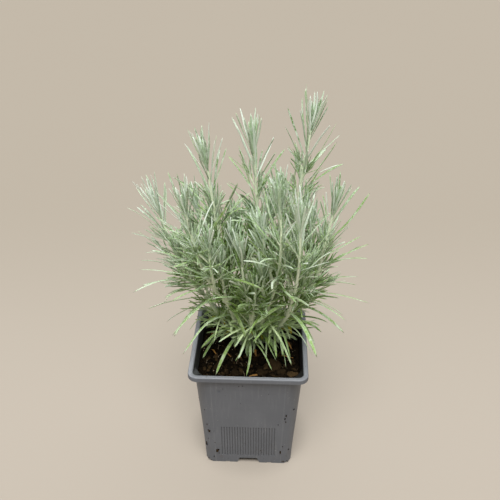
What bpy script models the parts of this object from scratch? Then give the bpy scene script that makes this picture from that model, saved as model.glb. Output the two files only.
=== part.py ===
"""A curry plant (Helichrysum) standing in a square nursery pot.

The pot, its compost and every leafy stem are separate solids. Metres, +Z up, with the origin
on the pot's axis at the level of its feet. +Y points away from the pot's front.
"""
import itertools
import math
import random

import bmesh
import bpy
import numpy as np
from mathutils import Matrix, Vector, noise

# Driving sizes of the pot
POT_HEIGHT = 0.100
RIM_WIDTH = 0.090
RIM_BAND = 0.0025
RIM_LIP = 0.0039
RIM_CORNER = 0.0066
BODY_TOP_WIDTH = 0.0828
BASE_WIDTH = 0.0692
FOOT_CORNER = 0.0084
NECK_CORNER = 0.0130
WALL = 0.0010
FLOOR = 0.0012
NECK_HEIGHT = 0.005
NECK_FLARE = ((0.0028, 0.0008, 0.0060, 0.6), (0.0012, 0.0020, 0.0040, 0.8))
RIM_EDGE = ((0.0010, 0.0), (0.0003, -0.0003), (0.0, -0.0010))
RIM_ROUNDNESS = 0.85
FOOT_ROUNDNESS = 1.35
NECK_ROUNDNESS = 0.5
MOUTH_CORNER = 0.0040
MOUTH_EDGE = ((0.0016, -0.0012), (0.0004, -0.0006), (0.0, 0.0), (-0.001, 0.0002))

# The cross of channels under the floor, and the holes that drain it
CHANNEL_WIDTH = 0.0182
CHANNEL_TOP_WIDTH = 0.0140
CHANNEL_HEIGHT = 0.0055
CENTRE_HOLE_RADIUS = 0.0045
DRAIN_RADIUS = 0.0032
DRAIN_REACH = 0.020
HOLE_SIDES = 10

# The fine upright grooves low on each face, and the slots in its bottom edge
GROOVE_COUNT = 21
GROOVE_PITCH = 0.0021
GROOVE_WIDTH = 0.0009
GROOVE_DEPTH = 0.0004
GROOVE_LOW = 0.009
GROOVE_HIGH = 0.043
SLOT_PLACE = 0.017
SLOT_WIDTH = 0.0036
SLOT_HEIGHT = 0.0007
SLOT_DEPTH = 0.0030
CORNER_LIFT = 0.0010
LIFT_LENGTH = 0.0012
CUT_OVER = 0.002

# The compost
SOIL_TOP = 0.088
SOIL_BUMP = 0.0018
SOIL_LUMP = 0.013
SOIL_CRUMB = 0.006
MOUND_RADIUS = 0.018
SOIL_EDGE = 0.001
SOIL_RINGS = 6
CLEARANCE = 0.0003

# The stems
CROWN = (0.0, 0.015)
STEM_FOOT = 0.080
STEM_COLLAR = 0.0915
STEM_RADIUS = 0.0019
SIDE_RADIUS = 0.0013
TIP_RADIUS = 0.0009
STEM_SIDES = 5
STEM_STEP = 0.016

# The leaves. Only every third leaf of the real spacing is built
LEAF_LENGTH = 0.037
LEAF_WIDTH = 0.0019
LEAF_THICKNESS = 0.0012
BASAL_LENGTH = 0.040
BASAL_WIDTH = 0.0027
BASAL_COUNT = 3
BASAL_LOW = 0.006
BASAL_STEP = 0.0055
BASAL_INDEX = 1000
BASAL_SPREAD = (48, 72)
BASAL_DROOP = (0.35, 0.60)
BASAL_FRONT = -0.017
LONG_INDEX = 2000
DODGE = 0.3
GOLDEN_TURN = math.radians(137.508)

# How the leaves stand: their spacing down from the growing tip, and how they open with age
FIRST_DEPTH = 0.0012
DEPTH_STEP = 0.00042
DEPTH_GROWTH = 0.00003
BARE_COLLAR = 0.006
BARE_FORK = 0.012
TUFT_SPREAD = 9
FULL_SPREAD = 58
SPREAD_DEPTH = 0.058
SPREAD_DRAW = 8
LENGTH_DRAW = (0.80, 1.14)
YOUNG_DEPTH = 0.009
YOUNG_SHORTER = 0.35
YOUNG_NARROWER = 0.25
SIDE_SHARE = 0.80
EVERY = 3
OPEN_STEMS = ("stem_left_front", "stem_right_front")
OPEN_DEPTH = 0.045
OPEN_SIDE = (0.0, -0.8, 0.6)
OPEN_SHARE = 0.35

# How the leaves keep clear of each other: the turns, spreads and lengths that one tries in order
LEAF_RADIUS = 0.00105
OTHER_GAP = 0.0004
OWN_GAP = -0.0004
ROOT_FREE = 0.44
WALL_FREE = 0.0015
RIM_FREE = 0.0022
SOIL_FREE = 0.0038
TRY_TURNS = (0.0, 0.22, -0.22, 0.45, -0.45)
TRY_SPREADS = (0.0, -0.16, 0.16, 0.3)
TRY_LENGTHS = (1.0, 0.85, 0.7)
REACH_X = 0.0895
REACH_Y = 0.0610
TOP_OF_PLANT = 0.300
SEED = 7

MM = 0.001

# Each main stem: its place on the compost, then points up its length to its growing tip, in mm
MAIN_STEMS = {
    "stem_tall_right": ((8, 18), (19, 15, 128), (30, 13, 175), (34.5, 14, 222), (41, 17, 272)),
    "stem_centre": ((0, 22), (3, 20, 130), (5.5, 17, 190), (3.5, 17, 228), (2, 17, 257)),
    "stem_left_centre": ((-7, 18), (-15, 12, 130), (-23, 7, 190), (-27, 6, 225), (-30, 6, 250)),
    "stem_left_back": ((-13, 14), (-33, 17, 125), (-51, 17, 152), (-61, 18, 180), (-69, 19, 207)),
    "stem_left_front": ((-7, 9), (-16, -1, 134), (-27, -13, 160), (-36, -22, 193), (-41.5, -28, 230)),
    "stem_right_centre": ((2, 12), (12, -4, 130), (20, -18, 170), (22, -27, 203), (21, -30, 235)),
    "stem_right_front": ((10, 11), (26, 0, 120), (32, -15, 152), (35, -25, 188), (34.5, -30, 224)),
    "stem_right": ((15, 16), (34, 10, 125), (49, 4, 158), (54, 1, 188), (59, 0, 219)),
    "stem_back": ((6, 27), (12, 36, 130), (15, 41, 160), (16, 43, 178), (16, 44, 193)),
    "stem_back_left": ((-5, 28), (-15, 35, 125), (-23, 40, 152), (-28, 42, 174), (-30, 43, 192)),
    "stem_front": ((0, 7), (1, -4, 122), (-1, -11, 145), (-4, -16, 168), (-5, -19, 190)),
}

# Side stems: the stem that each leaves, how far up it, and its tip in mm
SIDE_STEMS = (
    ("stem_tall_right", 0.40, (40, 34, 204)),
    ("stem_tall_right", 0.55, (22, 28, 218)),
    ("stem_centre", 0.36, (-10, 26, 192)),
    ("stem_centre", 0.52, (13, 4, 214)),
    ("stem_left_centre", 0.32, (-13, -6, 194)),
    ("stem_left_centre", 0.46, (-40, 22, 208)),
    ("stem_left_back", 0.30, (-47, 36, 178)),
    ("stem_left_back", 0.42, (-52, 2, 180)),
    ("stem_left_front", 0.34, (-20, -18, 184)),
    ("stem_left_front", 0.50, (-27, -30, 206)),
    ("stem_right_centre", 0.34, (10, -22, 176)),
    ("stem_right_centre", 0.55, (9, -15, 208)),
    ("stem_right_front", 0.34, (42, -12, 178)),
    ("stem_right_front", 0.52, (24, -14, 198)),
    ("stem_right", 0.36, (54, 22, 178)),
    ("stem_right", 0.54, (44, 10, 202)),
    ("stem_back", 0.30, (32, 45, 166)),
    ("stem_back", 0.50, (0, 46, 180)),
    ("stem_back_left", 0.32, (-42, 44, 164)),
    ("stem_back_left", 0.50, (-14, 46, 178)),
    ("stem_front", 0.34, (5, -20, 166)),
)

# The long leaves that stand out from the rest, the low ones arching over the compost and the rim: the
# stem that each grows on, the height of its root, its tip, its arch above a straight line and its width
LONG_LEAVES = (
    ("stem_front", 97, (-1, -44.5, 102.4), 7, 2.6),
    ("stem_front", 100, (12, -13, 101), 5, 3.0),
    ("stem_front", 99, (-10, -30, 104), 3, 2.4),
    ("stem_left_front", 98, (-23.5, -44, 102.6), 9, 2.7),
    ("stem_left_front", 101, (-34.5, -14, 104.5), 6, 2.5),
    ("stem_left_front", 106, (-37, -20, 107), 7, 2.5),
    ("stem_left_front", 124, (-48, -38, 116), 9, 2.6),
    ("stem_left_front", 136, (-2, -24, 122), 4, 3.4),
    ("stem_left_front", 150, (-55, -36, 132), 5, 2.3),
    ("stem_left_front", 166, (10, -36, 175), 5, 1.9),
    ("stem_left_front", 169, (-77, -26, 182), 2, 1.9),
    ("stem_left_front", 188, (-47, -60.8, 207), 1, 1.9),
    ("stem_left_front", 196, (-14, -26, 233), -1, 2.2),
    ("stem_left_front", 204, (-62, -22, 213), 3, 1.7),
    ("stem_left_centre", 200, (-8, -4, 240), 0, 2.0),
    ("stem_left_back", 126, (-59, -8, 108), 6, 2.4),
    ("stem_left_back", 129, (-79, -2, 130), 3, 2.0),
    ("stem_left_back", 138, (-67, 2, 133), 6, 2.0),
    ("stem_left_back", 146, (-88.5, -3, 146), 5, 1.9),
    ("stem_left_back", 153, (-81, 0, 173), 3, 2.0),
    ("stem_left_back", 166, (-83, 8, 194), -1, 1.8),
    ("stem_left_back", 178, (-88, 4, 215), 4, 1.8),
    ("stem_right_centre", 99, (20.5, -12, 101), 5, 2.7),
    ("stem_right_centre", 182, (0, -36, 215), 0, 2.0),
    ("stem_right_centre", 207, (27, -60.6, 225), 1, 1.8),
    ("stem_right_front", 106, (21, -26, 105), 4, 2.2),
    ("stem_right_front", 109, (26, -24, 104.5), 6, 2.6),
    ("stem_right_front", 112, (31.5, -27, 106), 5, 2.8),
    ("stem_right_front", 117, (47.5, -30, 112), 7, 2.5),
    ("stem_right_front", 126, (7.5, -24, 129.5), 5, 2.8),
    ("stem_right_front", 134, (50, -42, 120), 7, 2.8),
    ("stem_right_front", 146, (5.5, -33, 142), 5, 2.8),
    ("stem_right_front", 183, (56, -30, 221), 0, 1.9),
    ("stem_right", 128, (72, -12, 119), 7, 2.3),
    ("stem_right", 134, (72, -18, 135), 5, 2.1),
    ("stem_right", 143, (88.5, -12, 147.5), 3, 1.9),
    ("stem_right", 150, (78, -10, 162), 3, 1.8),
    ("stem_right", 155, (80, -2, 164), 2, 1.8),
    ("stem_right", 170, (86, 2, 190), 0, 1.9),
    ("stem_right", 178, (80, 6, 194), 0, 1.7),
    ("stem_right", 190, (83, 4, 230), -2, 1.8),
    ("stem_tall_right", 224, (58, 7, 266), -1, 1.8),
    ("stem_tall_right", 236, (57, 8, 279), -2, 1.8),
)


def clear_scene():
    """Removes whatever the scene holds."""
    for old in list(bpy.data.objects):
        bpy.data.objects.remove(old, do_unlink=True)


def make_material(name, colour, roughness):
    """A plain material of one colour."""
    material = bpy.data.materials.new(name)
    material.use_nodes = True
    shader = material.node_tree.nodes["Principled BSDF"]
    shader.inputs["Base Color"].default_value = (*colour, 1.0)
    shader.inputs["Roughness"].default_value = roughness
    shader.inputs["Metallic"].default_value = 0.0
    material.diffuse_color = (*colour, 1.0)
    return material


def mesh_object(name, bm, collection=None):
    """A new object that holds the mesh, linked to the scene or to a collection."""
    mesh = bpy.data.meshes.new(name)
    bm.to_mesh(mesh)
    bm.free()
    obj = bpy.data.objects.new(name, mesh)
    (collection or bpy.context.scene.collection).objects.link(obj)
    return obj


def apply_boolean(obj, operation, operand, solver="EXACT"):
    """Applies one Boolean of an object with another object or with a collection, and removes that."""
    modifier = obj.modifiers.new("boolean", "BOOLEAN")
    modifier.operation = operation
    modifier.solver = solver
    if isinstance(operand, bpy.types.Collection):
        modifier.operand_type = "COLLECTION"
        modifier.collection = operand
        used = list(operand.objects)
    else:
        modifier.object = operand
        used = [operand]
    with bpy.context.temp_override(object=obj, active_object=obj):
        bpy.ops.object.modifier_apply(modifier=modifier.name)
    for item in used:
        bpy.data.objects.remove(item, do_unlink=True)
    if isinstance(operand, bpy.types.Collection):
        bpy.data.collections.remove(operand)


def new_collection(name):
    """A collection in the scene, for the operands of a Boolean."""
    collection = bpy.data.collections.new(name)
    bpy.context.scene.collection.children.link(collection)
    return collection


def finish(obj, material, sharp_angle=math.radians(35)):
    """Gives an object its material and shades its round parts smooth."""
    obj.data.materials.clear()
    obj.data.materials.append(material)
    obj.data.polygons.foreach_set("material_index", [0] * len(obj.data.polygons))
    obj.data.shade_smooth()
    obj.data.set_sharp_from_angle(angle=sharp_angle)
    return obj


# The pot

def corner_points(half, leg, roundness, count=5):
    """One corner of a square, from +X round to +Y: 0 is a chamfer, 1 an arc, and more is fuller."""
    points = []
    for step in range(count):
        angle = math.pi / 2 * step / (count - 1)
        chamfer = 1 / (math.cos(angle) + math.sin(angle))
        radius = leg * ((1 - roundness) * chamfer + roundness)
        points.append((half - leg + radius * math.cos(angle), half - leg + radius * math.sin(angle)))
    return points


def square_loop(bm, half, leg, roundness, z):
    """A closed loop of vertices round a square with cut corners."""
    loop = []
    for quarter in range(4):
        turn = Matrix.Rotation(quarter * math.pi / 2, 3, "Z")
        for x, y in corner_points(half, leg, roundness):
            loop.append(bm.verts.new(turn @ Vector((x, y, z))))
    return loop


def loft(bm, loops):
    """Joins loops with walls and closes the first and the last with a face."""
    for low, high in zip(loops, loops[1:]):
        for i in range(len(low)):
            j = (i + 1) % len(low)
            bm.faces.new((low[i], low[j], high[j], high[i]))
    bm.faces.new(list(reversed(loops[0])))
    bm.faces.new(loops[-1])


def inner_half(z):
    """Half the width between the inner faces of the wall at a height."""
    slope = (BODY_TOP_WIDTH - BASE_WIDTH) / 2 / (POT_HEIGHT - NECK_HEIGHT)
    return BASE_WIDTH / 2 + slope * z - WALL


def body_corner(z):
    """The leg of the body's corners at a height: they widen upwards, so that each face stays as wide."""
    return FOOT_CORNER + (NECK_CORNER - FOOT_CORNER) * z / (POT_HEIGHT - NECK_HEIGHT)


def body_roundness(z):
    """How full the body's corners are at a height: fullest at the feet."""
    share = z / (POT_HEIGHT - NECK_HEIGHT)
    foot, neck = FOOT_CORNER * FOOT_ROUNDNESS, NECK_CORNER * NECK_ROUNDNESS
    return (foot + (neck - foot) * share) / body_corner(z)


def box_between(bm, low, high):
    """An axis-aligned box, as eight vertices and six faces."""
    made = bmesh.ops.create_cube(bm, size=1.0)["verts"]
    for vert in made:
        for axis in range(3):
            vert.co[axis] = low[axis] if vert.co[axis] < 0 else high[axis]
    return made


def channel_half(z):
    """Half the width of the channels at a height above the feet."""
    return (CHANNEL_WIDTH - (CHANNEL_WIDTH - CHANNEL_TOP_WIDTH) * z / CHANNEL_HEIGHT) / 2


def channel_bar(bm, grow, turned):
    """A long bar along X, or along Y when turned, of a channel's section grown by a thickness."""
    reach = RIM_WIDTH / 2
    bottom, top = -FLOOR, CHANNEL_HEIGHT + grow
    verts = box_between(bm, (-reach, -1.0, bottom), (reach, 1.0, top))
    for vert in verts:
        level = bottom if vert.co.z < 0 else top
        vert.co.y *= channel_half(level) + grow
    if turned:
        bmesh.ops.rotate(bm, verts=verts, cent=(0, 0, 0), matrix=Matrix.Rotation(math.pi / 2, 3, "Z"))


def channel_cross(name, grow):
    """The two crossing channels under the floor, grown by a thickness, as one solid."""
    bars = []
    for turned in (False, True):
        bm = bmesh.new()
        channel_bar(bm, grow, turned)
        bars.append(mesh_object(f"{name}_{turned}", bm))
    apply_boolean(bars[0], "UNION", bars[1])
    return bars[0]


def groove_cutters(bm, turn):
    """The row of upright grooves on one face, sheared to follow its slope."""
    slope = (BODY_TOP_WIDTH - BASE_WIDTH) / 2 / (POT_HEIGHT - NECK_HEIGHT)
    made = []
    for index in range(GROOVE_COUNT):
        x = (index - (GROOVE_COUNT - 1) / 2) * GROOVE_PITCH
        low = (x - GROOVE_WIDTH / 2, -CUT_OVER, GROOVE_LOW)
        high = (x + GROOVE_WIDTH / 2, GROOVE_DEPTH, GROOVE_HIGH)
        for vert in box_between(bm, low, high):
            vert.co.y -= BASE_WIDTH / 2 + slope * vert.co.z
            made.append(vert)
    bmesh.ops.rotate(bm, verts=made, cent=(0, 0, 0), matrix=turn)


def slot_cutters(bm, turn):
    """The two slots in one face's bottom edge, and the lift under the corner beside it."""
    made = []
    front = -BASE_WIDTH / 2
    for side in (-1, 1):
        low = (side * SLOT_PLACE - SLOT_WIDTH / 2, front - CUT_OVER, -CUT_OVER)
        high = (side * SLOT_PLACE + SLOT_WIDTH / 2, front + SLOT_DEPTH, SLOT_HEIGHT)
        made += box_between(bm, low, high)
    corner = corner_points(BASE_WIDTH / 2, FOOT_CORNER, FOOT_ROUNDNESS, 3)[1][0] * math.sqrt(2)
    low = (-FOOT_CORNER, -corner - FOOT_CORNER, -CUT_OVER)
    lift = box_between(bm, low, (FOOT_CORNER, -corner + LIFT_LENGTH, CORNER_LIFT))
    bmesh.ops.rotate(bm, verts=lift, cent=(0, 0, 0), matrix=Matrix.Rotation(math.pi / 4, 3, "Z"))
    bmesh.ops.rotate(bm, verts=made + lift, cent=(0, 0, 0), matrix=turn)


def drain_cutters(bm):
    """The drain holes: one in the centre, one in each channel and one in each foot."""
    places = [(0.0, 0.0, CENTRE_HOLE_RADIUS)]
    for quarter in range(4):
        angle = quarter * math.pi / 2
        places.append((DRAIN_REACH * math.cos(angle), DRAIN_REACH * math.sin(angle), DRAIN_RADIUS))
        angle += math.pi / 4
        places.append((DRAIN_REACH * math.cos(angle), DRAIN_REACH * math.sin(angle), DRAIN_RADIUS))
    for x, y, radius in places:
        height = CHANNEL_HEIGHT + 4 * FLOOR
        bmesh.ops.create_cone(
            bm, cap_ends=True, segments=HOLE_SIDES, radius1=radius, radius2=radius, depth=height,
            matrix=Matrix.Translation((x, y, height / 2 - FLOOR)))


def edge_loops(bm, half, leg, steps):
    """The loops that round an edge of the rim, each a drop below the top and a step outwards."""
    return [square_loop(bm, half + out, leg, RIM_ROUNDNESS, POT_HEIGHT - drop) for drop, out in steps]


def build_pot(material):
    """The injection-moulded pot: tapered wall, hollow rim, footed floor, grooves and drain holes."""
    top = POT_HEIGHT
    rim = RIM_WIDTH / 2
    neck = BODY_TOP_WIDTH / 2
    bm = bmesh.new()
    loft(bm, [
        square_loop(bm, BASE_WIDTH / 2, FOOT_CORNER, FOOT_ROUNDNESS, 0.0),
        square_loop(bm, neck, NECK_CORNER, NECK_ROUNDNESS, top - NECK_HEIGHT),
        *[square_loop(bm, neck + out, leg, bend, top - drop) for drop, out, leg, bend in NECK_FLARE],
        square_loop(bm, rim - WALL, RIM_CORNER - WALL, RIM_ROUNDNESS, top - NECK_FLARE[-1][0]),
        square_loop(bm, rim - WALL, RIM_CORNER - WALL, RIM_ROUNDNESS, top - RIM_LIP),
        square_loop(bm, rim, RIM_CORNER, RIM_ROUNDNESS, top - RIM_LIP),
        *edge_loops(bm, rim, RIM_CORNER, RIM_EDGE),
    ])
    pot = mesh_object("pot", bm)
    bm = bmesh.new()
    mouth = rim - RIM_BAND
    loft(bm, [
        square_loop(bm, inner_half(FLOOR), body_corner(FLOOR), body_roundness(FLOOR), FLOOR),
        square_loop(bm, inner_half(top - NECK_HEIGHT), NECK_CORNER, NECK_ROUNDNESS, top - NECK_HEIGHT),
        *edge_loops(bm, mouth, MOUTH_CORNER, MOUTH_EDGE),
    ])
    cavity = mesh_object("cavity", bm)
    apply_boolean(cavity, "DIFFERENCE", channel_cross("ridges", FLOOR))
    apply_boolean(pot, "DIFFERENCE", cavity)
    apply_boolean(pot, "DIFFERENCE", channel_cross("channels", 0.0))
    bm = bmesh.new()
    for quarter in range(4):
        turn = Matrix.Rotation(quarter * math.pi / 2, 3, "Z")
        groove_cutters(bm, turn)
        slot_cutters(bm, turn)
    drain_cutters(bm)
    apply_boolean(pot, "DIFFERENCE", mesh_object("pot_cuts", bm))
    return finish(pot, material)


# The compost

def soil_height(x, y):
    """The compost's lumpy surface, a little raised round the crown."""
    lumps = noise.noise(Vector((x, y, 0.0)) / SOIL_LUMP)
    lumps += 0.5 * noise.noise(Vector((x, y, 0.05)) / SOIL_CRUMB)
    mound = math.exp(-((x - CROWN[0]) ** 2 + (y - CROWN[1]) ** 2) / MOUND_RADIUS ** 2)
    return SOIL_TOP + SOIL_BUMP * (lumps + mound)


def build_soil(material, feet):
    """The block of compost that fills the pot, with a plain hole for each stem."""
    bm = bmesh.new()
    low = FLOOR + CLEARANCE
    loops = []
    for z in (low, SOIL_TOP - SOIL_EDGE):
        loops.append(square_loop(bm, inner_half(z) - CLEARANCE, body_corner(z), body_roundness(z), z))
    loft(bm, loops)
    bm.faces.ensure_lookup_table()
    bm.faces.remove(bm.faces[-1])
    outer = loops[-1]
    ring = outer
    for step in range(1, SOIL_RINGS):
        share = 1 - step / SOIL_RINGS
        inner = []
        for vert in outer:
            x, y = vert.co.x * share, vert.co.y * share
            inner.append(bm.verts.new((x, y, soil_height(x, y))))
        for i in range(len(ring)):
            j = (i + 1) % len(ring)
            bm.faces.new((ring[i], ring[j], inner[j], inner[i]))
        ring = inner
    middle = bm.verts.new((0.0, 0.0, soil_height(0.0, 0.0)))
    for i in range(len(ring)):
        bm.faces.new((ring[i], ring[(i + 1) % len(ring)], middle))
    soil = mesh_object("compost", bm)
    apply_boolean(soil, "DIFFERENCE", channel_cross("ridge_room", FLOOR + CLEARANCE))
    bm = bmesh.new()
    for x, y in feet:
        radius = (STEM_RADIUS + CLEARANCE) / math.cos(math.pi / HOLE_SIDES)
        low, high = STEM_FOOT - CLEARANCE, SOIL_TOP + 0.006
        bmesh.ops.create_cone(
            bm, cap_ends=True, segments=HOLE_SIDES, radius1=radius, radius2=radius, depth=high - low,
            matrix=Matrix.Translation((x, y, (low + high) / 2)))
    apply_boolean(soil, "DIFFERENCE", mesh_object("stem_holes", bm))
    return finish(soil, material)


# Stems and leaves

def unit(vector):
    """The vector at length 1."""
    return vector / np.linalg.norm(vector)


def smooth_curve(points, count=80):
    """Points along a Catmull-Rom curve through the given points."""
    ends = [2 * points[0] - points[1], *points, 2 * points[-1] - points[-2]]
    curve = []
    for p0, p1, p2, p3 in zip(ends, ends[1:], ends[2:], ends[3:]):
        for t in np.linspace(0, 1, count // (len(points) - 1), endpoint=False):
            curve.append(0.5 * (2 * p1 + (p2 - p0) * t + (2 * p0 - 5 * p1 + 4 * p2 - p3) * t ** 2
                                + (3 * p1 - p0 - 3 * p2 + p3) * t ** 3))
    return np.array([*curve, points[-1]])


def side_curve(start, tip, count=40):
    """A side stem's curve: outwards at first, then turning up."""
    out = tip - start
    knee = start + np.array((0.62 * out[0], 0.62 * out[1], 0.30 * out[2]))
    t = np.linspace(0, 1, count)[:, None]
    return (1 - t) ** 2 * start + 2 * t * (1 - t) * knee + t ** 2 * tip


class Shoot:
    """One axis of a leafy stem: its curve, a frame along it and its radius."""

    def __init__(self, node, curve, radius, number, side):
        self.node = node
        self.number = number
        self.side = side
        self.base_radius = radius
        steps = np.linalg.norm(np.diff(curve, axis=0), axis=1)
        self.run = np.concatenate(([0.0], np.cumsum(steps)))
        self.length = self.run[-1]
        self.curve = curve
        tangents = np.gradient(curve, self.run, axis=0)
        self.tangents = tangents / np.linalg.norm(tangents, axis=1)[:, None]
        normal = unit(np.cross(self.tangents[0], (0.3, 1.0, 0.1)))
        normals = []
        for tangent in self.tangents:
            normal = unit(normal - tangent * np.dot(normal, tangent))
            normals.append(normal)
        self.normals = np.array(normals)

    def sample(self, values, run):
        """One of the shoot's rows of vectors, read at a distance along it."""
        return np.array([np.interp(run, self.run, values[:, axis]) for axis in range(3)])

    def point(self, run):
        """The middle of the stem at a distance along it."""
        return self.sample(self.curve, run)

    def frame(self, run):
        """The direction along the stem there, and two directions across it."""
        tangent = unit(self.sample(self.tangents, run))
        normal = self.sample(self.normals, run)
        normal = unit(normal - tangent * np.dot(normal, tangent))
        return tangent, normal, np.cross(tangent, normal)

    def radius(self, run):
        """The stem's radius at a distance along it."""
        return self.base_radius + (TIP_RADIUS - self.base_radius) * (run / self.length) ** 1.3


def make_shoots():
    """Every main stem and side stem, as shoots that know the node they belong to."""
    shoots = []
    mains = {}
    for node, (foot, *points) in MAIN_STEMS.items():
        buried = np.array((*foot, STEM_FOOT / MM)) * MM
        collar = np.array((*foot, STEM_COLLAR / MM)) * MM
        rest = [np.array(point, dtype=float) * MM for point in points]
        curve = np.vstack((buried, smooth_curve([collar, *rest])))
        shoot = Shoot(node, curve, STEM_RADIUS, len(shoots), False)
        mains[node] = shoot
        shoots.append(shoot)
    for node, fork, tip in SIDE_STEMS:
        parent = mains[node]
        start = parent.point(fork * parent.length)
        curve = side_curve(start, np.array(tip, dtype=float) * MM)
        shoots.append(Shoot(node, curve, SIDE_RADIUS, len(shoots), True))
    return shoots


def tube(shoot):
    """A shoot's stem as a mesh with few sides, closed at both ends."""
    bm = bmesh.new()
    rings = []
    count = max(3, round(shoot.length / STEM_STEP))
    places = [shoot.length * step / count for step in range(count + 1)]
    buried = STEM_COLLAR - STEM_FOOT
    if not shoot.side:
        places = [0.0, buried] + [place for place in places if place > buried + STEM_STEP / 3]
    for run in places:
        centre = shoot.point(run)
        tangent, normal, across = shoot.frame(run)
        if not shoot.side and run <= buried:
            normal, across = np.array((1.0, 0.0, 0.0)), np.array((0.0, 1.0, 0.0))
        radius = shoot.radius(run)
        ring = []
        for side in range(STEM_SIDES):
            angle = 2 * math.pi * side / STEM_SIDES
            outwards = math.cos(angle) * normal + math.sin(angle) * across
            ring.append(bm.verts.new(centre + radius * outwards))
        rings.append(ring)
    loft(bm, rings)
    return bm


def leaf_depths(shoot):
    """How far below the growing tip each leaf stands: crowded in the tuft, wider apart below it."""
    lowest = BARE_FORK if shoot.side else STEM_COLLAR - STEM_FOOT + BARE_COLLAR
    depths = []
    step = 0
    while True:
        depth = FIRST_DEPTH + DEPTH_STEP * step + DEPTH_GROWTH * step ** 2
        if depth > shoot.length - lowest:
            return depths
        depths.append(depth)
        step += 1


class Leaf:
    """A narrow leaf: a bent line from the middle of its stem to its tip, and its size."""

    def __init__(self, shoot, index, depth):
        draw = random.Random(SEED * 100003 + shoot.number * 1009 + index)
        self.shoot = shoot
        self.index = index
        self.depth = depth
        self.turn = index * GOLDEN_TURN + shoot.number * 1.7 + draw.uniform(-0.25, 0.25)
        spread = TUFT_SPREAD + FULL_SPREAD * (1 - math.exp(-depth / SPREAD_DEPTH))
        self.spread = math.radians(spread + draw.uniform(-SPREAD_DRAW, SPREAD_DRAW))
        young = math.exp(-depth / YOUNG_DEPTH)
        self.length = LEAF_LENGTH * (1 - YOUNG_SHORTER * young) * draw.uniform(*LENGTH_DRAW)
        if shoot.side:
            self.length *= SIDE_SHARE
        self.bend = 0.14 * math.exp(-depth / 0.02) - 0.03
        self.droop = 0.10 + 0.35 * min(1.0, (depth / 0.11) ** 2)
        self.width = LEAF_WIDTH * (1 - YOUNG_NARROWER * young)

    def shape(self, turn=0.0, spread=0.0, scale=1.0):
        """Its root, middle and tip, when turned round the stem and spread by the given angles."""
        shoot = self.shoot
        run = shoot.length - self.depth
        root = shoot.point(run)
        tangent, normal, across = shoot.frame(run)
        radial = math.cos(self.turn + turn) * normal + math.sin(self.turn + turn) * across
        angle = self.spread + spread
        direction = math.cos(angle) * tangent + math.sin(angle) * radial
        flat = math.hypot(direction[0], direction[1])
        curl = self.bend * tangent - np.array((0.0, 0.0, self.droop * flat))
        length = self.length * scale
        middle = root + length * (0.55 * direction + 0.30 * curl)
        tip = root + length * (direction + curl)
        return root, middle, tip, tangent


def segment_gaps(start, end, starts, ends):
    """The least distance from one line segment to each of many."""
    d1 = end - start
    d2 = ends - starts
    r = start - starts
    a = np.dot(d1, d1)
    e = np.maximum(np.einsum("ij,ij->i", d2, d2), 1e-12)
    f = np.einsum("ij,ij->i", d2, r)
    c = r @ d1
    b = d2 @ d1
    denominator = np.maximum(a * e - b * b, 1e-14)
    s = np.clip((b * f - c * e) / denominator, 0, 1)
    t = np.clip((b * s + f) / e, 0, 1)
    s = np.clip((b * t - c) / a, 0, 1)
    return np.linalg.norm((start + s[:, None] * d1) - (starts + t[:, None] * d2), axis=1)


class BasalLeaf(Leaf):
    """One of the long, broad old leaves low on a main stem, which arch out over the compost."""

    def __init__(self, shoot, index):
        height = BASAL_LOW + BASAL_STEP * index
        super().__init__(shoot, BASAL_INDEX + index, shoot.length - height - (STEM_COLLAR - STEM_FOOT))
        draw = random.Random(SEED * 7919 + shoot.number * 101 + index)
        self.spread = math.radians(draw.uniform(*BASAL_SPREAD))
        self.length = BASAL_LENGTH * draw.uniform(0.85, 1.1)
        self.bend = 0.0
        self.droop = draw.uniform(*BASAL_DROOP)
        self.width = BASAL_WIDTH


def basal_leaves(shoot):
    """A main stem's basal leaves, less those that would hide the open compost in front."""
    if shoot.side:
        return []
    leaves = [BasalLeaf(shoot, index) for index in range(BASAL_COUNT)]
    return [leaf for leaf in leaves if leaf.shape()[2][1] > BASAL_FRONT]


class LongLeaf(Leaf):
    """One of the long leaves that arch forward, with its tip where it hangs."""

    def __init__(self, shoot, index, height, tip, arch, width):
        run = float(np.interp(height * MM, shoot.curve[:, 2], shoot.run))
        super().__init__(shoot, LONG_INDEX + index, shoot.length - run)
        self.end = np.array(tip, dtype=float) * MM
        self.arch = arch * MM
        self.width = width * MM

    def shape(self, turn=0.0, spread=0.0, scale=1.0):
        """Its root, middle and tip, when swung sideways, lifted and shortened a little."""
        root = self.shoot.point(self.shoot.length - self.depth)
        tangent, _, _ = self.shoot.frame(self.shoot.length - self.depth)
        x, y, z = scale * (self.end - root)
        swing = DODGE * turn
        sideways = x * math.cos(swing) - y * math.sin(swing)
        forwards = x * math.sin(swing) + y * math.cos(swing)
        away = np.array((sideways, forwards, z + DODGE * spread * math.hypot(x, y)))
        middle = root + 0.5 * away + np.array((0.0, 0.0, self.arch))
        return root, middle, root + away, tangent


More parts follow.
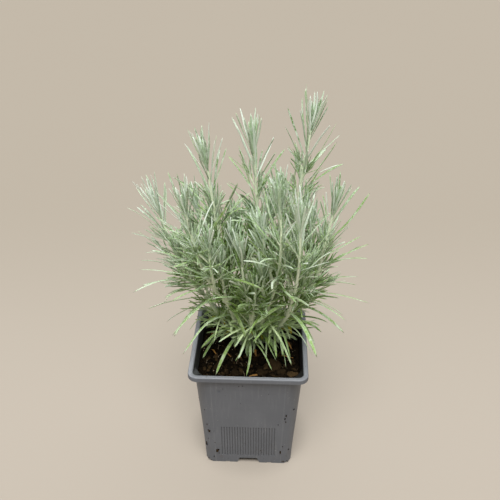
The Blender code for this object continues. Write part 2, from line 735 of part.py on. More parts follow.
class Thicket:
    """All the segments of stems and leaves placed so far, with their radii and their nodes."""

    def __init__(self):
        self.starts, self.ends, self.radii, self.nodes, self.roots = [], [], [], [], []
        self.arrays = None

    def add(self, start, end, radius, node, root=False):
        """Adds one segment. A leaf's root may cross its own node, which it is fused with."""
        self.starts.append(start)
        self.ends.append(end)
        self.radii.append(radius)
        self.nodes.append(node)
        self.roots.append(root)
        self.arrays = None

    def clear_of(self, start, end, radius, node, root=False):
        """Whether a segment keeps its gap to other nodes, and doesn't cross its own node's leaves."""
        if self.arrays is None:
            rows = (self.starts, self.ends, self.radii, self.nodes, self.roots)
            self.arrays = [np.array(row) for row in rows]
        starts, ends, radii, nodes, roots = self.arrays
        gaps = segment_gaps(start, end, starts, ends) - radii - radius
        own = nodes == node
        wanted = np.where(own, OWN_GAP, OTHER_GAP)
        return bool(np.all((gaps > wanted) | (own & (roots | root))))


def inside_wall(x, y):
    """Whether a place over the compost keeps clear of the pot's wall and of its corners."""
    half = inner_half(SOIL_TOP) - WALL_FREE
    return max(abs(x), abs(y)) < half and abs(x) + abs(y) < 2 * half - body_corner(SOIL_TOP)


def outside_pot(points):
    """Whether a leaf's points all keep clear of the rim, the wall and the compost."""
    for point in points:
        if point[2] < POT_HEIGHT + RIM_FREE and not inside_wall(point[0], point[1]):
            return False
        if point[2] < SOIL_TOP + SOIL_FREE:
            return False
        if abs(point[0]) > REACH_X or abs(point[1]) > REACH_Y or point[2] > TOP_OF_PLANT:
            return False
    return True


def segments(shape):
    """A leaf's line in three segments: its root, which its stem holds, and two more."""
    root, middle, tip, _ = shape
    free = root + ROOT_FREE * (middle - root)
    return (root, free, True), (free, middle, False), (middle, tip, False)


def fits(leaf, shape, thicket):
    """Whether a leaf in this shape clears the pot, the compost, the stems and the other leaves."""
    root, middle, tip, _ = shape
    if not outside_pot((root + ROOT_FREE * (middle - root), middle, (middle + tip) / 2, tip)):
        return False
    for start, end, near_root in segments(shape):
        if not thicket.clear_of(start, end, LEAF_RADIUS, leaf.shoot.node, near_root):
            return False
    return True


def long_leaves(shoot):
    """The long leaves that grow on a main stem."""
    if shoot.side:
        return []
    rows = [row for node, *row in LONG_LEAVES if node == shoot.node]
    return [LongLeaf(shoot, index, *row) for index, row in enumerate(rows)]


def bare_side(leaf):
    """Whether a leaf's place is on the side of an open stem where the leaves have been shed."""
    shoot = leaf.shoot
    if shoot.side or shoot.node not in OPEN_STEMS or leaf.depth < OPEN_DEPTH:
        return False
    _, normal, across = shoot.frame(shoot.length - leaf.depth)
    radial = math.cos(leaf.turn) * normal + math.sin(leaf.turn) * across
    return np.dot(radial, OPEN_SIDE) > OPEN_SHARE


def place_leaves(shoots):
    """Chooses each leaf's shape in turn, from the tufts downwards, so that it crosses nothing."""
    thicket = Thicket()
    for shoot in shoots:
        places = np.linspace(0, shoot.length, 13)
        for low, high in zip(places, places[1:]):
            thicket.add(shoot.point(low), shoot.point(high), shoot.radius(low), shoot.node)
    waiting = {}
    for shoot in shoots:
        leaves = [Leaf(shoot, index, depth) for index, depth in enumerate(leaf_depths(shoot))]
        kept = [leaf for leaf in leaves[::EVERY] if not bare_side(leaf)]
        waiting[shoot.number] = long_leaves(shoot) + kept + basal_leaves(shoot)
    placed = []
    while any(waiting.values()):
        for shoot in shoots:
            if not waiting[shoot.number]:
                continue
            leaf = waiting[shoot.number].pop(0)
            for scale, spread, turn in itertools.product(TRY_LENGTHS, TRY_SPREADS, TRY_TURNS):
                shape = leaf.shape(turn, spread, scale)
                if fits(leaf, shape, thicket):
                    for start, end, near_root in segments(shape):
                        thicket.add(start, end, LEAF_RADIUS, shoot.node, near_root)
                    placed.append((leaf, shape))
                    break
    return placed


def needle(leaf, shape):
    """A leaf as a three-sided needle, flat on the side that faces up the stem."""
    root, middle, tip, tangent = shape
    bm = bmesh.new()
    rings = []
    for centre, ahead, share in ((root, middle - root, 0.62), (middle, tip - root, 1.0)):
        ahead = unit(ahead)
        face = unit(tangent - ahead * np.dot(tangent, ahead))
        across = np.cross(ahead, face)
        half = leaf.width / 2 * share
        depth = LEAF_THICKNESS * share
        above = centre + 0.35 * depth * face
        corners = (above - half * across, above + half * across, centre - 0.65 * depth * face)
        rings.append([bm.verts.new(corner) for corner in corners])
    point = bm.verts.new(tip)
    low, high = rings
    bm.faces.new(list(reversed(low)))
    for i in range(3):
        j = (i + 1) % 3
        bm.faces.new((low[i], low[j], high[j], high[i]))
        bm.faces.new((high[i], high[j], point))
    bmesh.ops.recalc_face_normals(bm, faces=bm.faces)
    return bm


def build_stem(node, shoots, placed, material):
    """One leafy stem: its main axis joined with its side stems and with all its leaves."""
    own = [shoot for shoot in shoots if shoot.node == node]
    stem = mesh_object(node, tube(own[0]))
    parts = new_collection(node + "_parts")
    for number, shoot in enumerate(own[1:]):
        mesh_object(f"{node}_side_{number}", tube(shoot), parts)
    for number, (leaf, shape) in enumerate(placed):
        if leaf.shoot.node == node:
            mesh_object(f"{node}_leaf_{number}", needle(leaf, shape), parts)
    apply_boolean(stem, "UNION", parts)
    return finish(stem, material)


def main():
    """Builds the pot, the compost and the stems."""
    clear_scene()
    build_pot(make_material("pot_plastic", (0.115, 0.119, 0.126), 0.5))
    shoots = make_shoots()
    feet = [(foot[0] * MM, foot[1] * MM) for foot, *_ in MAIN_STEMS.values()]
    build_soil(make_material("compost_dark", (0.020, 0.013, 0.009), 0.95), feet)
    placed = place_leaves(shoots)
    for node in MAIN_STEMS:
        build_stem(node, shoots, placed, make_material(node + "_green", (0.34, 0.43, 0.29), 0.8))


main()
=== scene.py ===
"""The looks of a potted curry plant: fine leaves and woolly stems, crumbly compost and a moulded pot.

Metres, +Z up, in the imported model's frame: the pot's axis is the Z axis and its feet stand at z = 0.
The rules that place the stems and leaves are the model's own, so each finer piece keeps its form.
"""
import functools
import itertools
import math
import random

import bmesh
import bpy
import numpy as np
from mathutils import Matrix, Vector, noise


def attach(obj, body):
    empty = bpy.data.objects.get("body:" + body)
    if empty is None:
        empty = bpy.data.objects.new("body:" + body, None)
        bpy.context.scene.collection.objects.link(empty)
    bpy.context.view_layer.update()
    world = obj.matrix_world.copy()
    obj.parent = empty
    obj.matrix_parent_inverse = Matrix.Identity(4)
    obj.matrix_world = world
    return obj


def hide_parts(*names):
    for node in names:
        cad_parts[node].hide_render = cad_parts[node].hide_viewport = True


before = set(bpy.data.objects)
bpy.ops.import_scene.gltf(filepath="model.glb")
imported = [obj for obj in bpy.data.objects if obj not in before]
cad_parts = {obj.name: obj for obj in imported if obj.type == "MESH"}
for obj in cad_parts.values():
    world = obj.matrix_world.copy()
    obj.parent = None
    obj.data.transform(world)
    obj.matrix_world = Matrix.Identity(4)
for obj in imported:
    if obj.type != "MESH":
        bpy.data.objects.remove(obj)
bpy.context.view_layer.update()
MM = 0.001

# The pot, as in the model
POT_HEIGHT = 0.100
RIM_WIDTH = 0.090
RIM_BAND = 0.0025
RIM_LIP = 0.0039
RIM_CORNER = 0.0066
RIM_EDGE = 0.0011
BODY_TOP_WIDTH = 0.0828
BASE_WIDTH = 0.0692
FOOT_CORNER = 0.0084
NECK_CORNER = 0.0130
WALL = 0.0010
FLOOR = 0.0012
NECK_HEIGHT = 0.005
NECK_Z = POT_HEIGHT - NECK_HEIGHT
NECK_FLARE = (
    (0.0042, 0.0001, 0.0092, 0.5), (0.0028, 0.0008, 0.0060, 0.6),
    (0.0020, 0.0013, 0.0048, 0.7), (0.0012, 0.0020, 0.0040, 0.8))
RIM_ROUNDNESS = 0.85
FOOT_ROUNDNESS = 1.35
NECK_ROUNDNESS = 0.5
MOUTH_CORNER = 0.0040
MOUTH_EDGE = 0.0013
SHADE_AND_STAIN_TOP = POT_HEIGHT - 0.0011
CHANNEL_WIDTH = 0.0182
CHANNEL_TOP_WIDTH = 0.0140
CHANNEL_HEIGHT = 0.0055
CENTRE_HOLE_RADIUS = 0.0045
DRAIN_RADIUS = 0.0032
DRAIN_REACH = 0.020
HOLE_SIDES = 28
GROOVE_COUNT = 21
GROOVE_PITCH = 0.0021
GROOVE_WIDTH = 0.0009
GROOVE_TAPER = 0.55
GROOVE_DEPTH = 0.0004
GROOVE_LOW = 0.009
GROOVE_HIGH = 0.043
SLOT_PLACE = 0.017
SLOT_WIDTH = 0.0036
SLOT_HEIGHT = 0.0007
SLOT_DEPTH = 0.0030
CORNER_LIFT = 0.0010
LIFT_LENGTH = 0.0012
GATE_PLACE = (-0.0219, 0.0832)
CUT_OVER = 0.002
SLOPE = (BODY_TOP_WIDTH - BASE_WIDTH) / 2 / NECK_Z

# The compost
SOIL_TOP = 0.088
SOIL_BUMP = 0.0018
SOIL_LUMP = 0.013
SOIL_CRUMB = 0.006
MOUND_RADIUS = 0.018
SOIL_EDGE = 0.001
SOIL_RINGS = 52
SOIL_SIDE_POINTS = 62
CLEARANCE = 0.0003

# The stems, as in the model
CROWN = (0.0, 0.015)
STEM_FOOT = 0.080
STEM_COLLAR = 0.0915
STEM_RADIUS = 0.0019
SIDE_RADIUS = 0.0013
TIP_RADIUS = 0.0009

# The leaves, as in the model
LEAF_LENGTH = 0.037
LEAF_WIDTH = 0.0019
BASAL_LENGTH = 0.040
BASAL_WIDTH = 0.0027
BASAL_COUNT = 3
BASAL_LOW = 0.006
BASAL_STEP = 0.0055
BASAL_INDEX = 1000
BASAL_SPREAD = (48, 72)
BASAL_DROOP = (0.35, 0.60)
BASAL_FRONT = -0.017
LONG_INDEX = 2000
DODGE = 0.3
GOLDEN_TURN = math.radians(137.508)
FIRST_DEPTH = 0.0012
DEPTH_STEP = 0.00042
DEPTH_GROWTH = 0.00003
BARE_COLLAR = 0.006
BARE_FORK = 0.012
TUFT_SPREAD = 9
FULL_SPREAD = 58
SPREAD_DEPTH = 0.058
SPREAD_DRAW = 8
LENGTH_DRAW = (0.80, 1.14)
YOUNG_DEPTH = 0.009
YOUNG_SHORTER = 0.35
YOUNG_NARROWER = 0.25
SIDE_SHARE = 0.80
EVERY = 3
OPEN_STEMS = ("stem_left_front", "stem_right_front")
OPEN_DEPTH = 0.045
OPEN_SIDE = (0.0, -0.8, 0.6)
OPEN_SHARE = 0.35
LEAF_RADIUS = 0.00105
OTHER_GAP = 0.0004
OWN_GAP = -0.0004
ROOT_FREE = 0.44
WALL_FREE = 0.0015
RIM_FREE = 0.0022
SOIL_FREE = 0.0038
TRY_TURNS = (0.0, 0.22, -0.22, 0.45, -0.45)
TRY_SPREADS = (0.0, -0.16, 0.16, 0.3)
TRY_LENGTHS = (1.0, 0.85, 0.7)
REACH_X = 0.0895
REACH_Y = 0.0610
TOP_OF_PLANT = 0.300
SEED = 7

# The finer leaves that only this script adds
FINE_RADIUS = 0.00062
SMALL_RADIUS = 0.00040
CELL = 0.010
CELL_MARGIN = 0.0036
BUD_LEAVES = 17
SPUR_DEPTH = 0.032
SPUR_STEP = 0.0052
SMALL_LEAVES = 11
SMALL_LENGTH = 0.0155
SMALL_WIDTH = 0.00105
CROWN_COUNT = 17
CROWN_LOW = 0.0915
CROWN_HIGH = 0.1140
CROWN_LENGTH = (0.009, 0.019)
CROWN_WIDTH = (0.0019, 0.0032)
CROWN_OLD = 0.14
OLD_DEPTH = 0.150

# Each leafy stem, in mm: its place on the compost, then points up its length to its growing tip; its side
# stems, as how far up it each leaves and its tip; and the long leaves that stand out from the rest, the low
# ones over the rim, as the height of the root, the tip, the arch above a straight line and the width
STEMS = {
    "stem_tall_right": (
        ((8, 18), (19, 15, 128), (30, 13, 175), (34.5, 14, 222), (41, 17, 272)),
        ((0.40, (40, 34, 204)), (0.55, (22, 28, 218))),
        ((224, (58, 7, 266), -1, 1.8), (236, (57, 8, 279), -2, 1.8))),
    "stem_centre": (
        ((0, 22), (3, 20, 130), (5.5, 17, 190), (3.5, 17, 228), (2, 17, 257)),
        ((0.36, (-10, 26, 192)), (0.52, (13, 4, 214))),
        ()),
    "stem_left_centre": (
        ((-7, 18), (-15, 12, 130), (-23, 7, 190), (-27, 6, 225), (-30, 6, 250)),
        ((0.32, (-13, -6, 194)), (0.46, (-40, 22, 208))),
        ((200, (-8, -4, 240), 0, 2.0),)),
    "stem_left_back": (
        ((-13, 14), (-33, 17, 125), (-51, 17, 152), (-61, 18, 180), (-69, 19, 207)),
        ((0.30, (-47, 36, 178)), (0.42, (-52, 2, 180))),
        ((126, (-59, -8, 108), 6, 2.4), (129, (-79, -2, 130), 3, 2.0), (138, (-67, 2, 133), 6, 2.0),
         (146, (-88.5, -3, 146), 5, 1.9), (153, (-81, 0, 173), 3, 2.0), (166, (-83, 8, 194), -1, 1.8),
         (178, (-88, 4, 215), 4, 1.8))),
    "stem_left_front": (
        ((-7, 9), (-16, -1, 134), (-27, -13, 160), (-36, -22, 193), (-41.5, -28, 230)),
        ((0.34, (-20, -18, 184)), (0.50, (-27, -30, 206))),
        ((98, (-23.5, -44, 102.6), 9, 2.7), (101, (-34.5, -14, 104.5), 6, 2.5),
         (106, (-37, -20, 107), 7, 2.5), (124, (-48, -38, 116), 9, 2.6),
         (136, (-2, -24, 122), 4, 3.4), (150, (-55, -36, 132), 5, 2.3),
         (166, (10, -36, 175), 5, 1.9), (169, (-77, -26, 182), 2, 1.9), (188, (-47, -60.8, 207), 1, 1.9),
         (196, (-14, -26, 233), -1, 2.2), (204, (-62, -22, 213), 3, 1.7))),
    "stem_right_centre": (
        ((2, 12), (12, -4, 130), (20, -18, 170), (22, -27, 203), (21, -30, 235)),
        ((0.34, (10, -22, 176)), (0.55, (9, -15, 208))),
        ((99, (20.5, -12, 101), 5, 2.7), (182, (0, -36, 215), 0, 2.0), (207, (27, -60.6, 225), 1, 1.8))),
    "stem_right_front": (
        ((10, 11), (26, 0, 120), (32, -15, 152), (35, -25, 188), (34.5, -30, 224)),
        ((0.34, (42, -12, 178)), (0.52, (24, -14, 198))),
        ((106, (21, -26, 105), 4, 2.2), (109, (26, -24, 104.5), 6, 2.6), (112, (31.5, -27, 106), 5, 2.8),
         (117, (47.5, -30, 112), 7, 2.5), (126, (7.5, -24, 129.5), 5, 2.8), (134, (50, -42, 120), 7, 2.8),
         (146, (5.5, -33, 142), 5, 2.8), (183, (56, -30, 221), 0, 1.9))),
    "stem_right": (
        ((15, 16), (34, 10, 125), (49, 4, 158), (54, 1, 188), (59, 0, 219)),
        ((0.36, (54, 22, 178)), (0.54, (44, 10, 202))),
        ((128, (72, -12, 119), 7, 2.3), (134, (72, -18, 135), 5, 2.1), (143, (88.5, -12, 147.5), 3, 1.9),
         (150, (78, -10, 162), 3, 1.8), (155, (80, -2, 164), 2, 1.8), (170, (86, 2, 190), 0, 1.9),
         (178, (80, 6, 194), 0, 1.7), (190, (83, 4, 230), -2, 1.8))),
    "stem_back": (
        ((6, 27), (12, 36, 130), (15, 41, 160), (16, 43, 178), (16, 44, 193)),
        ((0.30, (32, 45, 166)), (0.50, (0, 46, 180))),
        ()),
    "stem_back_left": (
        ((-5, 28), (-15, 35, 125), (-23, 40, 152), (-28, 42, 174), (-30, 43, 192)),
        ((0.32, (-42, 44, 164)), (0.50, (-14, 46, 178))),
        ()),
    "stem_front": (
        ((0, 7), (1, -4, 122), (-1, -11, 145), (-4, -16, 168), (-5, -19, 190)),
        ((0.34, (5, -20, 166)),),
        ((97, (-1, -44.5, 102.4), 7, 2.6), (100, (12, -13, 101), 5, 3.0), (99, (-10, -30, 104), 3, 2.4))),
}

# Fallen leaves on the compost, in mm: where each starts and ends, its arch and its width
LITTER = (
    ((3.8, 1.0), (5.2, -6.8), 3.2, 1.9), ((0.5, -28.0), (10.4, -25.6), 0.9, 1.8),
    ((27.5, -8.6), (35.0, -5.2), 0.5, 0.9), ((25.0, -4.4), (31.5, -6.2), 1.0, 0.8),
    ((-14.6, -6.6), (-19.5, -1.8), 0.8, 0.8), ((-6.0, -9.5), (-10.5, -6.0), 1.2, 1.0),
    ((-31.0, 2.0), (-26.0, -4.5), 1.4, 1.6), ((30.0, 12.0), (33.5, 4.0), 1.5, 1.4),
    ((-33.0, 20.0), (-27.5, 25.5), 1.0, 1.5), ((14.0, 33.0), (22.0, 35.5), 1.3, 1.5),
    ((-12.0, 35.0), (-4.0, 33.5), 1.0, 1.2), ((34.0, 27.0), (29.5, 34.0), 0.8, 1.4))

# The clods that show in front: the place, the three sizes and the tone
CLODS = (
    (0.0335, -0.0255, (0.009, 0.008, 0.006), 1.0), (0.018, -0.017, (0.014, 0.011, 0.006), 0.42),
    (0.010, -0.024, (0.008, 0.006, 0.004), 0.30), (0.025, -0.024, (0.009, 0.007, 0.005), 0.36),
    (-0.024, -0.016, (0.010, 0.007, 0.004), 0.35), (-0.010, -0.026, (0.008, 0.006, 0.004), 0.22))

# The crumbs that show on the pot's front face, in mm: how far across, how high and how large
SPOTS = (
    (-25.2, 13.8, 2.3), (-24.6, 15.0, 1.5), (-34.0, 20.4, 1.6), (-33.8, 18.6, 1.8), (-31.0, 36.8, 1.6),
    (-31.8, 37.4, 0.8), (-32.6, 43.6, 1.0), (-32.1, 27.1, 0.6), (-34.0, 59.2, 0.7), (-28.0, 6.5, 1.0),
    (29.6, 57.3, 1.5), (28.7, 54.0, 1.2), (29.4, 50.3, 0.9), (35.5, 61.1, 1.3), (26.0, 14.4, 1.9),
    (27.7, 21.0, 0.7), (32.5, 16.0, 1.1), (23.6, 47.4, 0.8), (-6.8, 89.3, 0.7), (-4.0, 89.8, 0.7),
    (15.7, 81.5, 0.6), (-18.9, 86.0, 0.6), (-26.8, 23.9, 0.6))

# A blade's section: across it in half widths and above it in half thicknesses. Its margins roll
# under and a groove runs along its upper face
BLADE_SECTION = np.array((
    (-1.0, -0.35), (-0.62, 0.75), (0.0, 0.18), (0.62, 0.75),
    (1.0, -0.35), (0.55, -0.85), (0.0, -1.05), (-0.55, -0.85)))
SMALL_SECTION = np.array(((-1.0, -0.2), (0.0, 0.7), (1.0, -0.2), (0.0, -1.0)))
UP = np.array((0.0, 0.0, 1.0))


# The camera and the light

def new_object(name, data):
    """A new object that holds the data, linked to the scene."""
    obj = bpy.data.objects.new(name, data)
    bpy.context.scene.collection.objects.link(obj)
    return obj


def add_camera():
    """The camera at the photograph's viewing angle, fitted to the pot's corners."""
    data = bpy.data.cameras.new("camera")
    data.sensor_width = 36.0
    data.lens = 48.64
    camera = new_object("camera", data)
    camera.location = (0.01607, -0.41788, 0.44053)
    camera.rotation_euler = (math.radians(58.478), 0.0, math.radians(2.195))
    bpy.context.scene.camera = camera


def add_sun(name, azimuth, elevation, angle, strength, colour):
    """A very broad soft light from far away."""
    data = bpy.data.lights.new(name, "SUN")
    data.angle = math.radians(angle)
    data.energy = strength
    data.color = colour
    new_object(name, data).rotation_euler = (math.radians(90 - elevation), 0.0, math.radians(azimuth))


def add_studio():
    """Even soft light from all round and from two suns, and a pale seamless floor."""
    scene = bpy.context.scene
    scene.view_settings.view_transform = "Standard"
    scene.world = bpy.data.worlds.new("studio")
    scene.world.use_nodes = True
    background = scene.world.node_tree.nodes["Background"]
    background.inputs["Color"].default_value = (0.985, 0.985, 1.0, 1.0)
    background.inputs["Strength"].default_value = 0.25
    add_sun("key", -3, 66, 36, 3.36, (1.0, 0.995, 0.98))
    add_sun("behind", 168, 58, 60, 0.68, (0.93, 0.97, 1.0))
    bm = bmesh.new()
    bmesh.ops.create_grid(bm, x_segments=2, y_segments=2, size=6.0)
    floor = mesh_object("floor", bm)
    floor.location.z = -0.0001
    floor.data.materials.append(floor_material())


# Materials

class Nodes:
    """A material's node tree, with short calls that add and join its nodes."""

    def __init__(self, name, roughness, specular=0.5):
        self.material = bpy.data.materials.new(name)
        self.material.use_nodes = True
        self.tree = self.material.node_tree
        self.shader = self.tree.nodes["Principled BSDF"]
        self.set("Roughness", roughness)
        self.set("Specular IOR Level", specular)
        self.place = self.new("TexCoord").outputs["Object"]

    def join(self, socket, value):
        """Links an output to an input, or sets its value."""
        if isinstance(value, bpy.types.NodeSocket):
            self.tree.links.new(value, socket)
        else:
            socket.default_value = (*value, 1.0) if socket.type == "RGBA" else value

    def set(self, name, value):
        """Sets or links one of the shader's inputs."""
        self.join(self.shader.inputs[name], value)

    def new(self, kind, *values, **settings):
        """A new node with its settings, and its first inputs set or linked."""
        node = self.tree.nodes.new("ShaderNode" + kind)
        for name, setting in settings.items():
            setattr(node, name, setting)
        for socket, value in zip(node.inputs, values):
            self.join(socket, value)
        return node

    def noise(self, size, detail=3.0, roughness=0.55, stretch=None, seed=0.0):
        """Noise with features of a size in metres."""
        place = self.place
        if stretch:
            place = self.new("Mapping", place, (0, 0, 0), (0, 0, 0), stretch).outputs[0]
        node = self.new("TexNoise", place, seed, 1.0 / size, detail, roughness, noise_dimensions="4D")
        return node.outputs["Fac"]

    def value(self, name):
        """A number kept on each point of the mesh."""
        return self.new("Attribute", attribute_name=name).outputs["Fac"]

    def axes(self):
        """The X, Y and Z of the place."""
        return self.new("SeparateXYZ", self.place).outputs

    def math(self, operation, *values):
        """A sum on some numbers."""
        return self.new("Math", *values, operation=operation).outputs[0]

    def remap(self, value, low, high, new_low=0.0, new_high=1.0):
        """A number eased from one range into another."""
        ends = (low, high, new_low, new_high)
        return self.new("MapRange", value, *ends, interpolation_type="SMOOTHSTEP").outputs[0]

    def mask(self, *parts):
        """The product of some numbers, each remapped first if it is a tuple."""
        numbers = [self.remap(*part) if isinstance(part, tuple) else part for part in parts]
        return functools.reduce(functools.partial(self.math, "MULTIPLY"), numbers)

    def mix(self, share, first, second, blend="MIX"):
        """Two colours mixed by a share."""
        node = self.new("Mix", share, data_type="RGBA", blend_type=blend)
        self.join(node.inputs[6], first)
        self.join(node.inputs[7], second)
        return node.outputs[2]

    def coat(self, under, over, *parts):
        """One colour laid over another, by a mask made of the parts."""
        return self.mix(self.mask(*parts), under, over)

    def bump(self, height, distance, strength):
        """Raises the surface by a height times a distance."""
        node = self.new("Bump", strength, distance)
        self.join(node.inputs["Height"], height)
        self.set("Normal", node.outputs[0])

    def sheen(self, weight, roughness, tint):
        """Gives the surface a soft felted edge."""
        self.set("Sheen Weight", weight)
        self.set("Sheen Roughness", roughness)
        self.set("Sheen Tint", tint)


def floor_material():
    """Pale warm card with a painted glow, which is weaker by the pot and off under it: a painted contact
    shadow.
    """
    nodes = Nodes("card", 0.95, 0.1)
    x, y, _ = nodes.axes()
    # Painted fall-off of the light: the card darkens towards the back
    card = nodes.coat((0.635, 0.562, 0.474), (0.552, 0.486, 0.398), (y, -0.02, 0.42))
    card = nodes.coat(card, (0.50, 0.44, 0.36), (nodes.noise(0.35, 2.0), 0.3, 0.7, 0.0, 0.04))
    nodes.set("Base Color", nodes.mix(1.0, card, (0.42, 0.42, 0.42), "MULTIPLY"))
    # The glow is painted light, which thins the shadows on the floor
    nodes.set("Emission Color", card)
    # Painted contact shadow: the glow weakens near the pot and goes out under it
    away = nodes.new("VectorMath", nodes.place, operation="LENGTH").outputs["Value"]
    across = nodes.math("MAXIMUM", nodes.math("ABSOLUTE", x), nodes.math("ABSOLUTE", y))
    shadow_under_pot = (across, BASE_WIDTH / 2 - 0.0038, BASE_WIDTH / 2)
    nodes.set("Emission Strength", nodes.mask((away, 0.036, 0.056, 0.285, 0.41), shadow_under_pot))
    nodes.bump(nodes.noise(0.0012), 0.00005, 0.3)
    return nodes.material


def pot_material():
    """Matte grey plastic dusted with dried compost, with painted highlights on the rim and the faces' edges,
    and painted shade in the grooves and inside, partly a compost stain.
    """
    nodes = Nodes("pot_plastic", 0.42)
    x, y, z = nodes.axes()
    cloud = nodes.noise(0.022, 4.0)
    grey = nodes.coat((0.118, 0.127, 0.145), (0.138, 0.147, 0.165), (cloud, 0.3, 0.7))
    streaks = nodes.noise(0.0016, 2.0, stretch=(1.0, 1.0, 0.05))
    grey = nodes.coat(grey, (0.235, 0.238, 0.245), (streaks, 0.52, 0.75, 0.0, 0.22))
    grey = nodes.coat(grey, (0.40, 0.39, 0.37), (nodes.noise(0.0011, 1.0, seed=3.0), 0.735, 0.78))
    grime = nodes.noise(0.006, 5.0, seed=8.0)
    grey = nodes.coat(grey, (0.085, 0.060, 0.042), (grime, 0.56, 0.70), (z, 0.0, 0.03, 0.34, 0.05))
    # Painted highlights: faint pale lines where each face meets its corners
    least = nodes.math("MINIMUM", nodes.math("ABSOLUTE", x), nodes.math("ABSOLUTE", y))
    widens = SLOPE - (NECK_CORNER - FOOT_CORNER) / NECK_Z
    line = nodes.math("MULTIPLY_ADD", z, widens, BASE_WIDTH / 2 - FOOT_CORNER)
    off = nodes.math("ABSOLUTE", nodes.math("SUBTRACT", least, line))
    edge_highlight = ((off, 0.0001, 0.0005, 0.13, 0.0), (z, 0.094, 0.095, 1.0, 0.0))
    grey = nodes.coat(grey, (0.30, 0.305, 0.315), *edge_highlight)
    # Painted shade in the grooves
    turn = nodes.math("FRACT", nodes.math("MULTIPLY_ADD", least, 1 / GROOVE_PITCH, 0.5))
    middle = nodes.math("ABSOLUTE", nodes.math("SUBTRACT", turn, 0.5))
    last = GROOVE_COUNT / 2 * GROOVE_PITCH
    groove_shade = (
        (middle, 0.16, 0.25, 1.0, 0.0), (least, last - 0.1 * GROOVE_PITCH, last, 1.0, 0.0),
        (z, GROOVE_LOW, GROOVE_LOW + 0.001), (z, GROOVE_HIGH - 0.0002, GROOVE_HIGH + 0.0002, 1.0, 0.0),
        (z, GROOVE_HIGH - 0.0016, GROOVE_HIGH - 0.0006, 0.42, 0.85))
    grey = nodes.coat(grey, (0.060, 0.062, 0.068), *groove_shade)
    # Painted highlight: the rim's top is lighter, palest at the left
    rim_top_highlight = nodes.coat((0.235, 0.246, 0.268), (0.338, 0.352, 0.382), (x, -0.0430, -0.0405, 1.0, 0.0))
    grey = nodes.coat(grey, rim_top_highlight, (z, POT_HEIGHT - 0.0010, POT_HEIGHT - 0.0001, 0.0, 0.9))
    # Painted reflections: lighter vertical streaks on the inner faces
    reflection_streaks = nodes.noise(0.0032, 2.0, stretch=(1.0, 1.0, 0.16), seed=11.0)
    # Painted shade: the inner faces are near black, partly a damp compost stain
    inside_shade_and_stain = nodes.coat((0.011, 0.010, 0.010), (0.060, 0.062, 0.066), (reflection_streaks, 0.58, 0.70, 0.0, 0.8))
    # Painted light: the left inner wall is lighter
    inside_shade_and_stain = nodes.coat(inside_shade_and_stain, (0.064, 0.066, 0.069), (x, -0.0390, -0.0360, 1.0, 0.0))
    nodes.set("Base Color", nodes.coat(grey, inside_shade_and_stain, (nodes.value("inside"), 0.0, 1.0)))
    nodes.set("Roughness", nodes.remap(cloud, 0.2, 0.8, 0.46, 0.58))
    nodes.bump(nodes.noise(0.00035, 2.0), 0.00003, 0.6)
    return nodes.material


def soil_material():
    """Damp dark compost, crumbly and flecked with paler fibres."""
    nodes = Nodes("compost_dark", 0.92, 0.04)
    coarse = nodes.remap(nodes.noise(0.0075, 6.0, 0.65), 0.35, 0.70)
    brown = nodes.mix(coarse, (0.0010, 0.0007, 0.0004), (0.0075, 0.0048, 0.0024))
    fine = nodes.noise(0.0011, 4.0, seed=2.0)
    brown = nodes.coat(brown, (0.036, 0.024, 0.011), (fine, 0.50, 0.72, 0.0, 0.45))
    brown = nodes.coat(brown, (0.26, 0.19, 0.12), (nodes.noise(0.0009, 1.0, seed=5.0), 0.745, 0.79))
    nodes.set("Base Color", brown)
    nodes.set("Roughness", nodes.remap(coarse, 0.0, 1.0, 0.70, 0.97))
    nodes.bump(nodes.noise(0.0014, 6.0, 0.7), 0.0009, 0.9)
    return nodes.material


def crumb_material():
    """The loose bits of bark, peat and grit, each with its own tone."""
    nodes = Nodes("compost_bits", 0.90, 0.04)
    brown = nodes.mix(nodes.value("tone"), (0.0014, 0.0010, 0.0006), (0.066, 0.041, 0.018))
    brown = nodes.coat(brown, (0.42, 0.33, 0.23), (nodes.value("age"), 0.4, 0.6))
    grain = nodes.noise(0.0006, 4.0)
    nodes.set("Base Color", nodes.coat(brown, (0.008, 0.0055, 0.003), (grain, 0.3, 0.7, 0.0, 0.5)))
    nodes.bump(grain, 0.0003, 0.8)
    return nodes.material


